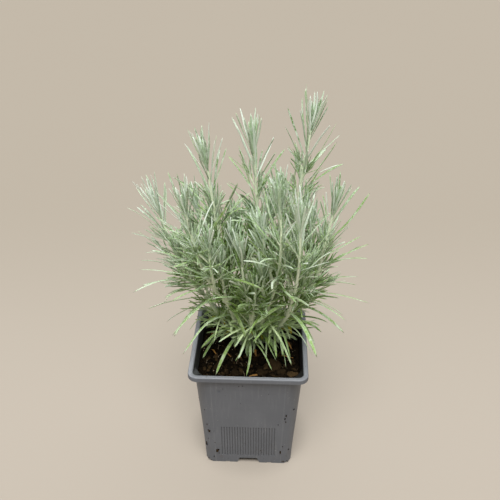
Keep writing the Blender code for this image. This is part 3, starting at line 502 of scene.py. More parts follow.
def leaf_material():
    """A felted leaf: green under a coat of fine pale hairs, which older leaves have less of."""
    nodes = Nodes("leaf_felt", 0.70, 0.14)
    age, tone, depth, edge, along = map(nodes.value, ("age", "tone", "shade", "edge", "along"))
    x, _, z = nodes.axes()
    green = nodes.coat((0.41, 0.60, 0.30), (0.33, 0.51, 0.150), (age, 0.0, 0.50))
    green = nodes.coat(green, (0.185, 0.285, 0.060), (age, 0.45, 1.0))
    green = nodes.coat(green, (0.080, 0.170, 0.020), (tone, 0.10, 0.42, 0.80, 0.0))
    green = nodes.coat(green, (0.10, 0.20, 0.028), (edge, 0.0, 0.45, 0.42, 0.0))
    # Painted shade: deep inside the plant the green grows richer and the pale hairs fewer, partly as real
    # shade leaves are greener
    green = nodes.coat(green, (0.26, 0.42, 0.055), (depth, 0.0, 0.6, 0.0, 0.7))
    # The pale hairs: by the leaf, under it, in fine flecks, in patches and on the margins; and all leaves
    # paler towards the left
    less = nodes.mask((age, 0.12, 0.90, 1.0, 0.36), (depth, 0.0, 0.55, 1.0, 0.12))
    felt = nodes.noise(0.0013, 4.0, 0.75)
    patches = nodes.noise(0.006, 2.0, seed=4.0)
    for parts in (
            ((tone, 0.56, 0.84, 0.0, 0.90), less, less), (nodes.value("under"), 0.16),
            ((felt, 0.46, 0.60, 0.0, 0.44), less), ((patches, 0.48, 0.64, 0.0, 0.42), less),
            ((edge, 0.55, 1.0, 0.0, 0.45), less), ((x, -0.072, -0.048, 0.34, 0.0), less)):
        green = nodes.coat(green, (0.92, 1.0, 0.91), *parts)
    # Painted shade deep inside the plant
    painted_inner_shade = (depth, (along, 0.1, 1.0, 0.80, 0.28), (z, 0.105, 0.150, 0.12, 1.0))
    green = nodes.coat(green, (0.036, 0.074, 0.008), *painted_inner_shade)
    # Painted light: the low leaves over the crown are paler
    low = ((z, 0.122, 0.146, 0.90, 0.0), (depth, 0.05, 0.30), (tone, 0.34, 0.60, 0.10, 1.0))
    green = nodes.coat(green, (0.62, 0.76, 0.43), *low)
    nodes.set("Base Color", nodes.coat(green, (0.20, 0.12, 0.05), (along, 0.93, 1.0), (tone, 0.80, 0.88)))
    nodes.sheen(0.08, 0.45, (0.90, 0.97, 0.88))
    nodes.bump(felt, 0.00012, 0.7)
    return nodes.material


def old_leaf_material(name, first, second, dead):
    """A dying or fallen leaf: one colour or another, going brown towards its tip."""
    nodes = Nodes(name, 0.66, 0.20)
    dry = nodes.math("ADD", nodes.value("along"), nodes.remap(nodes.noise(0.004), 0.3, 0.7, -0.25, 0.25))
    live = nodes.mix(nodes.value("tone"), first, second)
    nodes.set("Base Color", nodes.coat(live, dead, (dry, 0.60, 1.20)))
    nodes.bump(nodes.noise(0.0007), 0.0002, 0.7)
    return nodes.material


def wool_material():
    """The stems' bark under matted pale wool, which wears off towards the compost."""
    nodes = Nodes("stem_wool", 0.88, 0.15)
    age = nodes.value("age")
    wool = nodes.noise(0.00055, 4.0, 0.7)
    coat = nodes.coat((0.74, 0.83, 0.56), (0.94, 0.99, 0.82), (wool, 0.30, 0.70))
    bark = nodes.coat((0.38, 0.50, 0.27), (0.42, 0.42, 0.27), (age, 0.0, 0.5))
    bark = nodes.coat(bark, (0.34, 0.31, 0.20), (age, 0.7, 1.0))
    worn = nodes.noise(0.0045, seed=6.0)
    coat = nodes.coat(coat, bark, (worn, 0.54, 0.76, 0.02, 0.30), (age, 0.1, 1.0, 0.35, 1.0))
    # Painted shade: deep inside the plant the stems turn a darker khaki green
    nodes.set("Base Color", nodes.coat(coat, (0.42, 0.50, 0.24), nodes.value("shade"), 0.55))
    nodes.sheen(0.3, 0.5, (0.95, 0.96, 0.90))
    nodes.bump(wool, 0.0004, 0.9)
    return nodes.material


# Shared mesh work

def mesh_object(name, bm):
    """A new object that holds the mesh."""
    mesh = bpy.data.meshes.new(name)
    bm.to_mesh(mesh)
    bm.free()
    return new_object(name, mesh)


def modify(obj, kind, **settings):
    """Adds a modifier and turns it into the object's mesh."""
    modifier = obj.modifiers.new(kind, kind)
    for name, setting in settings.items():
        setattr(modifier, name, setting)
    with bpy.context.temp_override(object=obj, active_object=obj):
        bpy.ops.object.modifier_apply(modifier=modifier.name)


def combine(obj, operand, operation="DIFFERENCE"):
    """Applies one exact Boolean of an object with another, and removes that."""
    modify(obj, "BOOLEAN", operation=operation, solver="EXACT", object=operand)
    bpy.data.objects.remove(operand, do_unlink=True)


def dress(obj, materials, slot, *nodes):
    """Gives a piece its materials and its place in the frame."""
    obj.data.materials.clear()
    for material in materials:
        obj.data.materials.append(material)
    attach(obj, "root")
    if nodes:
        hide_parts(*nodes)


class Sheaf:
    """Many small closed shapes gathered into one mesh, with numbers on each point."""

    VALUES = ("age", "tone", "along", "under", "edge", "shade")

    def __init__(self, name):
        self.name = name
        self.points, self.faces, self.values, self.slots = [], [], [], []
        self.count = 0

    def add(self, points, faces, values, slot=0):
        """Adds one shape: its points, triangles, numbers and material slot."""
        rows = np.zeros((len(points), len(self.VALUES)))
        for column, name in enumerate(self.VALUES):
            rows[:, column] = values.get(name, 0.0)
        self.points.append(points)
        self.faces.append(faces + self.count)
        self.values.append(rows)
        self.slots.append(np.full(len(faces), slot))
        self.count += len(points)

    def make(self, materials, slot, *nodes):
        """Makes the piece, smooth, with its materials and its numbers."""
        mesh = bpy.data.meshes.new(self.name)
        mesh.from_pydata(np.concatenate(self.points), [], np.concatenate(self.faces))
        mesh.shade_smooth()
        dress(new_object(self.name, mesh), materials, slot, *nodes)
        mesh.polygons.foreach_set("material_index", np.concatenate(self.slots).astype(np.int32))
        values = np.concatenate(self.values).astype(np.float32)
        for column, name in enumerate(self.VALUES):
            attribute = mesh.attributes.new(name, "FLOAT", "POINT")
            attribute.data.foreach_set("value", np.ascontiguousarray(values[:, column]))


@functools.lru_cache(maxsize=None)
def ring_faces(rings, sides):
    """The triangles of a closed body of rings of points with one more point at its tip."""
    faces = []
    for ring, side in itertools.product(range(rings - 1), range(sides)):
        low, after = ring * sides + side, ring * sides + (side + 1) % sides
        faces += [(low, after, after + sides), (low, after + sides, low + sides)]
    last = (rings - 1) * sides
    faces += [(last + side, last + (side + 1) % sides, rings * sides) for side in range(sides)]
    faces += [(0, side + 1, side) for side in range(1, sides - 1)]
    return np.array(faces)


def bridge(bm, loops):
    """Joins each loop of vertices to the next with a wall of faces."""
    for low, high in zip(loops, loops[1:]):
        for i in range(len(low)):
            j = (i + 1) % len(low)
            bm.faces.new((low[i], low[j], high[j], high[i]))


def unit(vector):
    """The vector at length 1."""
    return vector / np.linalg.norm(vector)


def around(turn, normal, across):
    """The direction at a turn from one direction towards another that is square to it."""
    return math.cos(turn) * normal + math.sin(turn) * across


def arc(start, control, end, t):
    """The places along a bent line, from its start to its end."""
    return (1 - t) ** 2 * start + 2 * t * (1 - t) * control + t ** 2 * end


# The pot

def spin(quarters, x, y, z=0.0):
    """A place turned about the pot's axis by some quarters."""
    return Matrix.Rotation(quarters * math.pi / 2, 3, "Z") @ Vector((x, y, z))


def turn_all(bm, verts, angle):
    """Turns vertices about the pot's axis."""
    bmesh.ops.rotate(bm, verts=verts, cent=(0, 0, 0), matrix=Matrix.Rotation(angle, 3, "Z"))


def corner_points(half, leg, roundness, count=13):
    """One corner of a square, from +X round to +Y: 0 is a chamfer, 1 an arc, and more is fuller."""
    points = []
    for step in range(count):
        angle = math.pi / 2 * step / (count - 1)
        cos, sin = math.cos(angle), math.sin(angle)
        radius = leg * ((1 - roundness) * (1 / (cos + sin)) + roundness)
        points.append((min(half, half - leg + radius * cos), min(half, half - leg + radius * sin)))
    return points


def lofted(name, rows):
    """A solid through squares, each given as half a width, the corners' leg and roundness, and a height."""
    bm = bmesh.new()
    loops = []
    for half, leg, roundness, z in rows:
        places = [spin(side, x, y, z) for side in range(4) for x, y in corner_points(half, leg, roundness)]
        loops.append([bm.verts.new(place) for place in places])
    bridge(bm, loops)
    bm.faces.new(list(reversed(loops[0])))
    bm.faces.new(loops[-1])
    return mesh_object(name, bm)


def inner_half(z):
    """Half the width between the inner faces of the wall at a height."""
    return BASE_WIDTH / 2 + SLOPE * z - WALL


def body_corner(z):
    """The leg of the body's corners at a height: they widen upwards."""
    return FOOT_CORNER + (NECK_CORNER - FOOT_CORNER) * z / NECK_Z


def body_roundness(z):
    """How full the body's corners are at a height: fullest at the feet."""
    foot, neck = FOOT_CORNER * FOOT_ROUNDNESS, NECK_CORNER * NECK_ROUNDNESS
    return (foot + (neck - foot) * (z / NECK_Z)) / body_corner(z)


def box_between(bm, low, high):
    """An axis-aligned box's vertices, between its low corner and its high one."""
    made = bmesh.ops.create_cube(bm, size=1.0)["verts"]
    for vert in made:
        vert.co = [high[axis] if vert.co[axis] > 0 else low[axis] for axis in range(3)]
    return made


def channel_cross(name, grow):
    """The two crossing channels under the floor, grown by a thickness, as one solid."""
    bars = []
    for turned in range(2):
        bm = bmesh.new()
        bottom, top = -FLOOR, CHANNEL_HEIGHT + grow
        verts = box_between(bm, (-RIM_WIDTH / 2, -1.0, bottom), (RIM_WIDTH / 2, 1.0, top))
        for vert in verts:
            share = (bottom if vert.co.z < 0 else top) / CHANNEL_HEIGHT
            vert.co.y *= (CHANNEL_WIDTH - (CHANNEL_WIDTH - CHANNEL_TOP_WIDTH) * share) / 2 + grow
        turn_all(bm, verts, turned * math.pi / 2)
        bars.append(mesh_object(f"{name}_{turned}", bm))
    combine(bars[0], bars[1], "UNION")
    return bars[0]


def rounded(radius, steps=5):
    """Steps round an edge, as the drop below its top and how far back it lies."""
    turns = [math.pi / 2 * step / steps for step in range(steps + 1)]
    return [(radius * (1 - math.sin(turn)), radius * (1 - math.cos(turn))) for turn in turns]


def build_pot():
    """The injection-moulded pot, with its edges rounded."""
    top, rim, neck = POT_HEIGHT, RIM_WIDTH / 2, BODY_TOP_WIDTH / 2
    mouth = rim - RIM_BAND
    outer = [(BASE_WIDTH / 2, FOOT_CORNER, FOOT_ROUNDNESS, 0.0), (neck, NECK_CORNER, NECK_ROUNDNESS, NECK_Z)]
    outer += [(neck + out, leg, roundness, top - drop) for drop, out, leg, roundness in NECK_FLARE]
    outer += [(rim - WALL, RIM_CORNER - WALL, RIM_ROUNDNESS, z) for z in (outer[-1][3], top - RIM_LIP)]
    outer.append((rim, RIM_CORNER, RIM_ROUNDNESS, top - RIM_LIP))
    for drop, back in rounded(RIM_EDGE):
        outer.append((rim - back, RIM_CORNER - back / 2, RIM_ROUNDNESS, top - drop))
    inner = [(inner_half(z), body_corner(z), body_roundness(z), z) for z in (FLOOR, NECK_Z)]
    for drop, back in rounded(MOUTH_EDGE):
        inner.append((mouth - MOUTH_EDGE + back, MOUTH_CORNER, RIM_ROUNDNESS, top - drop))
    inner.append((mouth + 0.0001, MOUTH_CORNER, RIM_ROUNDNESS, top + 0.001))
    pot = lofted("pot_moulded", outer)
    cavity = lofted("cavity", inner)
    combine(cavity, channel_cross("ridges", FLOOR))
    combine(pot, cavity)
    combine(pot, channel_cross("channels", 0.0))
    combine(pot, mesh_object("pot_cuts", pot_cuts()))
    modify(pot, "BEVEL", width=0.00014, segments=2, limit_method="ANGLE", angle_limit=math.radians(38))
    pot.data.shade_smooth()
    pot.data.set_sharp_from_angle(angle=math.radians(32))
    modify(pot, "WEIGHTED_NORMAL", keep_sharp=True, weight=100)
    inside = pot.data.attributes.new("inside", "FLOAT", "POINT")
    for vert, value in zip(pot.data.vertices, inside.data):
        value.value = float(is_inside(*vert.co))
    dress(pot, [pot_material()], "pot_plastic", "pot")


def is_inside(x, y, z):
    """Whether a place is on the pot's inner faces, which are painted dark: painted shade, and partly a
    compost stain.
    """
    half, leg, roundness = inner_half(z) + WALL / 2, body_corner(z), body_roundness(z)
    if z > NECK_Z + 0.0002:
        rise = min(1.0, (z - NECK_Z) / (NECK_HEIGHT - MOUTH_EDGE))
        half = inner_half(NECK_Z) + WALL / 2 + 0.0008 * rise
        leg = NECK_CORNER + (MOUTH_CORNER - NECK_CORNER) * rise
        roundness = NECK_ROUNDNESS + (RIM_ROUNDNESS - NECK_ROUNDNESS) * rise
    if not CHANNEL_HEIGHT + FLOOR / 2 < z < SHADE_AND_STAIN_TOP:
        return False
    across, along = abs(x) - half + leg, abs(y) - half + leg
    if min(across, along) <= 0:
        return max(across, along) < leg
    turn = math.atan2(along, across)
    limit = leg * ((1 - roundness) / (math.cos(turn) + math.sin(turn)) + roundness)
    return math.hypot(across, along) < limit


def drill(bm, matrix, radius, depth, sides):
    """A cylinder that cuts a round hole."""
    bmesh.ops.create_cone(
        bm, cap_ends=True, segments=sides, radius1=radius, radius2=radius, depth=depth, matrix=matrix)


def pot_cuts():
    """The grooves, the slots, the corner lifts, the drain holes and the gate mark, as cutters."""
    bm = bmesh.new()
    front = -BASE_WIDTH / 2
    for quarter in range(4):
        made = []
        for index in range(GROOVE_COUNT):
            x = (index - (GROOVE_COUNT - 1) / 2) * GROOVE_PITCH
            low = (x - GROOVE_WIDTH / 2, -CUT_OVER, GROOVE_LOW)
            for vert in box_between(bm, low, (x + GROOVE_WIDTH / 2, GROOVE_DEPTH, GROOVE_HIGH)):
                if vert.co.y > 0:
                    vert.co.x = x + (vert.co.x - x) * GROOVE_TAPER
                vert.co.y += front - SLOPE * vert.co.z
                made.append(vert)
        for side in (-1, 1):
            left, right = [side * SLOT_PLACE + reach / 2 for reach in (-SLOT_WIDTH, SLOT_WIDTH)]
            low = (left, front - CUT_OVER, -CUT_OVER)
            made += box_between(bm, low, (right, front + SLOT_DEPTH, SLOT_HEIGHT))
        corner = corner_points(BASE_WIDTH / 2, FOOT_CORNER, FOOT_ROUNDNESS, 3)[1][0] * math.sqrt(2)
        low = (-FOOT_CORNER, -corner - FOOT_CORNER, -CUT_OVER)
        lift = box_between(bm, low, (FOOT_CORNER, -corner + LIFT_LENGTH, CORNER_LIFT))
        turn_all(bm, lift, math.pi / 4)
        turn_all(bm, made + lift, quarter * math.pi / 2)
    height = CHANNEL_HEIGHT + 4 * FLOOR
    level = height / 2 - FLOOR
    drill(bm, Matrix.Translation((0.0, 0.0, level)), CENTRE_HOLE_RADIUS, height, HOLE_SIDES)
    for eighth in range(8):
        angle = eighth * math.pi / 4
        place = (DRAIN_REACH * math.cos(angle), DRAIN_REACH * math.sin(angle), level)
        drill(bm, Matrix.Translation(place), DRAIN_RADIUS, height, HOLE_SIDES)
    across, up = GATE_PLACE
    gate = Matrix.Translation((across, front - SLOPE * up, up)) @ Matrix.Rotation(math.pi / 2, 4, "X")
    drill(bm, gate, 0.0011, 0.0008, 20)
    return bm


# The compost

def soil_height(x, y):
    """The compost's lumpy surface, a little raised round the crown."""
    lumps = noise.noise(Vector((x, y, 0.0)) / SOIL_LUMP)
    lumps += 0.5 * noise.noise(Vector((x, y, 0.05)) / SOIL_CRUMB)
    mound = math.exp(-((x - CROWN[0]) ** 2 + (y - CROWN[1]) ** 2) / MOUND_RADIUS ** 2)
    return SOIL_TOP + SOIL_BUMP * (lumps + mound)


def crumbly_height(x, y):
    """The same surface with the crumbs and clods that the model leaves out."""
    crumbs = noise.noise(Vector((x, y, 0.3)) / 0.0042) + 0.6 * noise.noise(Vector((x, y, 0.7)) / 0.0019)
    clods = abs(noise.noise(Vector((x, y, 0.9)) / 0.009))
    return soil_height(x, y) + 0.0008 * crumbs + 0.0022 * clods - 0.0006


def on_soil(x, y, lift):
    """A place over the compost, lifted off its surface."""
    return np.array((x, y, crumbly_height(x, y) + lift))


def soil_outline(half, leg, roundness):
    """Evenly spaced places round the compost's edge: how far across they are, and how far along."""
    corners = [spin(side, x, y) for side in range(4) for x, y in corner_points(half, leg, roundness)]
    corners.append(corners[0])
    run = [0.0]
    for before, after in zip(corners, corners[1:]):
        run.append(run[-1] + (after - before).length)
    places = np.linspace(0, run[-1], 4 * SOIL_SIDE_POINTS, endpoint=False)
    return [np.interp(places, run, [corner[axis] for corner in corners]) for axis in range(2)]


def build_soil():
    """The compost: a block down to the pot's floor under a crumbly surface."""
    bm = bmesh.new()
    levels = []
    brim = SOIL_TOP - SOIL_EDGE
    for z in (FLOOR + CLEARANCE, 0.045, brim):
        outline = soil_outline(inner_half(z) - CLEARANCE, body_corner(z), body_roundness(z))
        levels.append([bm.verts.new((x, y, z)) for x, y in zip(*outline)])
    outer = [(vert.co.x, vert.co.y) for vert in levels[-1]]
    for step in range(1, SOIL_RINGS):
        share = 1 - step / SOIL_RINGS
        rise = min(1.0, step / 3)
        ring = []
        for x, y in outer:
            x, y = x * share, y * share
            z = brim + rise * (crumbly_height(x, y) - SOIL_TOP + SOIL_EDGE)
            ring.append(bm.verts.new((x, y, z)))
        levels.append(ring)
    bridge(bm, levels)
    middle = bm.verts.new((0.0, 0.0, crumbly_height(0.0, 0.0)))
    last = levels[-1]
    for i in range(len(last)):
        bm.faces.new((last[i], last[(i + 1) % len(last)], middle))
    bm.faces.new(list(reversed(levels[0])))
    soil = mesh_object("compost_fine", bm)
    combine(soil, channel_cross("ridge_room", FLOOR + CLEARANCE))
    soil.data.shade_smooth()
    dress(soil, [soil_material()], "compost", "compost")


def lump(draw, place, sizes, detail=1, rough=0.9):
    """An irregular crumb: a ball squashed to three sizes, turned and roughened."""
    bm = bmesh.new()
    bmesh.ops.create_icosphere(bm, subdivisions=detail, radius=0.5)
    offset = Vector([draw.uniform(0, 50) for axis in range(3)])
    turn = Matrix.Rotation(draw.uniform(0, math.tau), 3, "Z")
    turn = turn @ Matrix.Rotation(draw.uniform(-0.5, 0.5), 3, "X")
    for vert in bm.verts:
        share = 1 + rough * noise.noise(vert.co * 2.3 + offset)
        vert.co = turn @ Vector([share * c * size for c, size in zip(vert.co, sizes)])
    points = np.array([tuple(vert.co) for vert in bm.verts]) + np.array(place)
    faces = np.array([[vert.index for vert in face.verts] for face in bm.faces])
    bm.free()
    return points, faces


def build_crumbs():
    """The bark, clods, grit, fibres and fallen leaves that lie on the compost."""
    sheaf = Sheaf("compost_crumbs")
    draw = random.Random(SEED)
    half = inner_half(SOIL_TOP) - 0.0015
    corner = 2 * half - body_corner(SOIL_TOP)
    for _ in range(1500):
        x, y = draw.uniform(-half, half), draw.uniform(-half, half)
        size = 0.0007 + 0.0036 * draw.random() ** 3.4
        if abs(x) + abs(y) > corner or max(abs(x), abs(y)) > half - size * 0.6:
            continue
        sizes = [size * draw.uniform(*ends) for ends in ((0.8, 1.5), (0.6, 1.0), (0.45, 0.85))]
        crumb = lump(draw, on_soil(x, y, 0.12 * sizes[2]), sizes, 2 if size > 0.0022 else 1)
        pale = 1.0 if size < 0.0010 and draw.random() < 0.14 else 0.0
        sheaf.add(*crumb, {"tone": draw.random() ** 2.2, "age": pale})
    for x, y, sizes, tone in CLODS:
        sheaf.add(*lump(draw, on_soil(x, y, 0.0008), sizes, 3, 0.8), {"tone": tone})
    for _ in range(90):
        x, y = draw.uniform(-half, half) * 0.92, draw.uniform(-half, half) * 0.92
        if abs(x) + abs(y) > corner - 0.004:
            continue
        turn = draw.uniform(0, math.tau)
        reach = draw.uniform(0.002, 0.007)
        across, along = reach * math.cos(turn), reach * math.sin(turn)
        ends = [on_soil(x + share * across, y + share * along, lift)
                for share, lift in ((-0.5, 0.0006), (0.0, 0.0014), (0.5, 0.0006))]
        radius = draw.uniform(0.00010, 0.00022)
        rod(sheaf, ends, radius, {"tone": draw.uniform(0.4, 1.0), "age": draw.choice((0, 0, 0.5))}, slot=0)
    for *ends, arch, width in LITTER:
        start, end = [on_soil(x * MM, y * MM, 0.0007) for x, y in ends]
        shape = (start, (start + end) / 2 + arch * MM * UP, end, UP)
        add_blade(sheaf, Litter(width * MM), shape, draw, 10, 0.35, 1)
    fallen = old_leaf_material("fallen_leaf", (0.20, 0.10, 0.028), (0.34, 0.17, 0.040), (0.085, 0.042, 0.018))
    sheaf.make([crumb_material(), fallen], "compost")


def rod(sheaf, ends, radius, values, sides=5, stations=7, slot=1):
    """A thin bent rod through three points."""
    start, middle, end = ends
    t = np.linspace(0, 1, stations)[:, None]
    line = arc(start, 2 * middle - 0.5 * (start + end), end, t)
    tangents = np.gradient(line, axis=0)
    tangents /= np.linalg.norm(tangents, axis=1)[:, None]
    normal = unit(np.cross(tangents[0], (0.31, 0.17, 0.93)))
    turns = np.linspace(0, math.tau, sides, endpoint=False)[:, None]
    rings = []
    for place, tangent in zip(line, tangents):
        across = unit(np.cross(tangent, normal))
        rings.append(place + radius * (np.cos(turns) * np.cross(across, tangent) + np.sin(turns) * across))
    points = np.vstack((*rings, line[-1] + radius * tangents[-1]))
    sheaf.add(points, ring_faces(stations, sides)[:, ::-1], {**values, "shade": shade(points)}, slot)


def build_dirt():
    """Crumbs of dried compost stuck to the pot's faces, feet and rim."""
    sheaf = Sheaf("pot_crumbs")
    draw = random.Random(SEED + 1)
    spots = [(0, *spot) for spot in SPOTS]
    for side in range(4):
        for _ in range(16 if side else 10):
            x, z = draw.uniform(-31, 31), 4 + 80 * draw.random() ** 1.8
            spots.append((side, x, z, draw.uniform(0.25, 0.7)))
    for side, x, z, size in spots:
        x, z, size = x * MM, z * MM, size * MM
        curve = corner_points(BASE_WIDTH / 2 + SLOPE * z, body_corner(z), body_roundness(z), 31)
        curve = np.array(curve)[::-1]
        place = spin(side, x, -np.interp(abs(x), curve[:, 0], curve[:, 1]) - 0.12 * size, z)
        sizes = [size * draw.uniform(*ends) for ends in ((0.8, 1.2), (0.6, 0.8), (0.8, 1.3))]
        sheaf.add(*lump(draw, place, sizes, 2), {"tone": draw.uniform(0.0, 0.7)})
    foot = corner_points(BASE_WIDTH / 2, FOOT_CORNER, FOOT_ROUNDNESS, 31)
    for quarter, _ in itertools.product(range(4), range(15)):
        corner = spin(quarter, *(Vector(foot[draw.randrange(4, 27)]) * draw.uniform(0.985, 1.0)))
        size = draw.uniform(0.4, 1.2) * MM
        corner.z = CORNER_LIFT * 0.4 + 0.0024 * draw.random() ** 2 + size / 2
        sheaf.add(*lump(draw, corner, (size, size, size)), {"tone": draw.uniform(0.2, 1.0)})
    for _ in range(26):
        along = draw.uniform(-0.036, 0.036)
        place = spin(draw.randrange(4), along, -RIM_WIDTH / 2 + draw.uniform(0.0014, 0.003), POT_HEIGHT)
        size = draw.uniform(0.25, 0.55) * MM
        sheaf.add(*lump(draw, place, (size, size, size * 0.7)), {"tone": draw.uniform(0.0, 0.6)})
    sheaf.make([crumb_material()], "compost")


# Stems and leaves: where they grow

def smooth_curve(points, count=80):
    """Points along a Catmull-Rom curve through the given points."""
    ends = [2 * points[0] - points[1], *points, 2 * points[-1] - points[-2]]
    curve = []
    for p0, p1, p2, p3 in zip(ends, ends[1:], ends[2:], ends[3:]):
        for t in np.linspace(0, 1, count // (len(points) - 1), endpoint=False):
            curve.append(0.5 * (2 * p1 + (p2 - p0) * t + (2 * p0 - 5 * p1 + 4 * p2 - p3) * t ** 2
                                + (3 * p1 - p0 - 3 * p2 + p3) * t ** 3))
    return np.array([*curve, points[-1]])


def side_curve(start, tip, count=40):
    """A side stem's curve: outwards at first, then turning up."""
    knee = start + np.array((0.62, 0.62, 0.30)) * (tip - start)
    return arc(start, knee, tip, np.linspace(0, 1, count)[:, None])


class Shoot:
    """One axis of a leafy stem: its curve, a frame along it and its radius."""

    def __init__(self, node, curve, radius, number, side):
        self.node = node
        self.number = number
        self.side = side
        self.base_radius = radius
        self.curve = curve
        self.run = np.concatenate(([0.0], np.cumsum(np.linalg.norm(np.diff(curve, axis=0), axis=1))))
        self.length = self.run[-1]
        tangents = np.gradient(curve, self.run, axis=0)
        self.tangents = tangents / np.linalg.norm(tangents, axis=1)[:, None]
        normal = unit(np.cross(self.tangents[0], (0.3, 1.0, 0.1)))
        normals = []
        for tangent in self.tangents:
            normal = unit(normal - tangent * np.dot(normal, tangent))
            normals.append(normal)
        self.normals = np.array(normals)

    def sample(self, values, run):
        """One of the shoot's rows of vectors, read at a distance along it."""
        return np.array([np.interp(run, self.run, values[:, axis]) for axis in range(3)])

    def point(self, run):
        """The middle of the stem at a distance along it."""
        return self.sample(self.curve, run)

    def frame(self, run):
        """The direction along the stem there, and two directions across it."""
        tangent = unit(self.sample(self.tangents, run))
        normal = self.sample(self.normals, run)
        normal = unit(normal - tangent * np.dot(normal, tangent))
        return tangent, normal, np.cross(tangent, normal)

    def radius(self, run):
        """The stem's radius at a distance along it."""
        return self.base_radius + (TIP_RADIUS - self.base_radius) * (run / self.length) ** 1.3

    def run_at(self, height):
        """How far along the stem a height is."""
        return float(np.interp(height, self.curve[:, 2], self.run))

    def lowest(self, on_side, on_main):
        """Where leaves or spurs start: so far from the fork, or so far from the compost."""
        return on_side if self.side else STEM_COLLAR - STEM_FOOT + on_main


def make_shoots():
    """Every main stem and then every side stem, as shoots."""
    shoots = []
    for node, ((foot, *points), _, _) in STEMS.items():
        buried, collar = [np.array((*foot, height / MM)) * MM for height in (STEM_FOOT, STEM_COLLAR)]
        rest = [np.array(point, dtype=float) * MM for point in points]
        curve = np.vstack((buried, smooth_curve([collar, *rest])))
        shoots.append(Shoot(node, curve, STEM_RADIUS, len(shoots), False))
    for parent in list(shoots):
        for fork, tip in STEMS[parent.node][1]:
            curve = side_curve(parent.point(fork * parent.length), np.array(tip, dtype=float) * MM)
            shoots.append(Shoot(parent.node, curve, SIDE_RADIUS, len(shoots), True))
    return shoots


def leaf_depths(shoot):
    """How far below the growing tip each leaf stands: crowded there, wider apart below."""
    reach = shoot.length - shoot.lowest(BARE_FORK, BARE_COLLAR)
    depths = (FIRST_DEPTH + DEPTH_STEP * step + DEPTH_GROWTH * step ** 2 for step in itertools.count())
    return itertools.takewhile(lambda depth: depth <= reach, depths)


class Leaf:
    """A narrow leaf: a bent line from the middle of its stem to its tip, and its size."""

    def __init__(self, shoot, index, depth):
        draw = random.Random(SEED * 100003 + shoot.number * 1009 + index)
        self.shoot = shoot
        self.index = index
        self.depth = depth
        self.turn = index * GOLDEN_TURN + shoot.number * 1.7 + draw.uniform(-0.25, 0.25)
        spread = TUFT_SPREAD + FULL_SPREAD * (1 - math.exp(-depth / SPREAD_DEPTH))
        self.spread = math.radians(spread + draw.uniform(-SPREAD_DRAW, SPREAD_DRAW))
        young = math.exp(-depth / YOUNG_DEPTH)
        self.length = LEAF_LENGTH * (1 - YOUNG_SHORTER * young) * draw.uniform(*LENGTH_DRAW)
        if shoot.side:
            self.length *= SIDE_SHARE
        self.bend = 0.14 * math.exp(-depth / 0.02) - 0.03
        self.droop = 0.10 + 0.35 * min(1.0, (depth / 0.11) ** 2)
        self.width = LEAF_WIDTH * (1 - YOUNG_NARROWER * young)

    def stand(self):
        """Its root on the stem, and the frame of the stem there."""
        run = self.shoot.length - self.depth
        return self.shoot.point(run), *self.shoot.frame(run)

    def shape(self, turn=0.0, spread=0.0, scale=1.0):
        """Its root, middle, tip and facing, when turned round the stem, spread and shortened."""
        root, tangent, normal, across = self.stand()
        direction = around(self.spread + spread, tangent, around(self.turn + turn, normal, across))
        flat = math.hypot(direction[0], direction[1])
        curl = self.bend * tangent - np.array((0.0, 0.0, self.droop * flat))
        length = self.length * scale
        middle = root + length * (0.55 * direction + 0.30 * curl)
        return root, middle, root + length * (direction + curl), tangent


class BasalLeaf(Leaf):
    """One of the long, broad old leaves that arch out low on a main stem."""

    def __init__(self, shoot, index):
        height = BASAL_LOW + BASAL_STEP * index
        super().__init__(shoot, BASAL_INDEX + index, shoot.length - height - (STEM_COLLAR - STEM_FOOT))
        draw = random.Random(SEED * 7919 + shoot.number * 101 + index)
        self.spread = math.radians(draw.uniform(*BASAL_SPREAD))
        self.length = BASAL_LENGTH * draw.uniform(0.85, 1.1)
        self.bend = 0.0
        self.droop = draw.uniform(*BASAL_DROOP)
        self.width = BASAL_WIDTH


class LongLeaf(Leaf):
    """One of the long leaves that stand out, with its tip where it hangs."""

    def __init__(self, shoot, index, height, tip, arch, width):
        super().__init__(shoot, LONG_INDEX + index, shoot.length - shoot.run_at(height * MM))
        self.end = np.array(tip, dtype=float) * MM
        self.arch = arch * MM
        self.width = width * MM

    def shape(self, turn=0.0, spread=0.0, scale=1.0):
        """Its root, middle, tip and facing, when swung, lifted and shortened a little."""
        root, tangent, _, _ = self.stand()
        x, y, z = scale * (self.end - root)
        cos, sin = math.cos(DODGE * turn), math.sin(DODGE * turn)
        away = np.array((x * cos - y * sin, x * sin + y * cos, z + DODGE * spread * math.hypot(x, y)))
        return root, root + 0.5 * away + self.arch * UP, root + away, tangent


class SmallLeaf(Leaf):
    """A short fine leaf of one of the leafy spurs in the axils."""

    def __init__(self, shoot, index, base, heading, depth, draw):
        super().__init__(shoot, index, shoot.length)
        self.depth = depth
        self.base = base
        self.heading = heading
        self.length = SMALL_LENGTH * draw.uniform(0.65, 1.25)
        self.width = SMALL_WIDTH * draw.uniform(0.85, 1.25)
        self.spread = math.radians(draw.uniform(6, 38))
        self.turn = index * GOLDEN_TURN + draw.uniform(-0.4, 0.4)
        self.droop = draw.uniform(-0.05, 0.15)

    def shape(self, turn=0.0, spread=0.0, scale=1.0):
        """Its root, middle, tip and facing, when turned, spread and shortened."""
        across = unit(np.cross(self.heading, (0.31, 0.17, 0.93)))
        radial = around(self.turn + turn, across, np.cross(self.heading, across))
        direction = around(self.spread + spread, self.heading, radial)
        length = self.length * scale
        middle = self.base + length * (0.52 * direction - 0.3 * (0.10 * self.heading - self.droop * UP))
        return self.base, middle, self.base + length * direction, self.heading


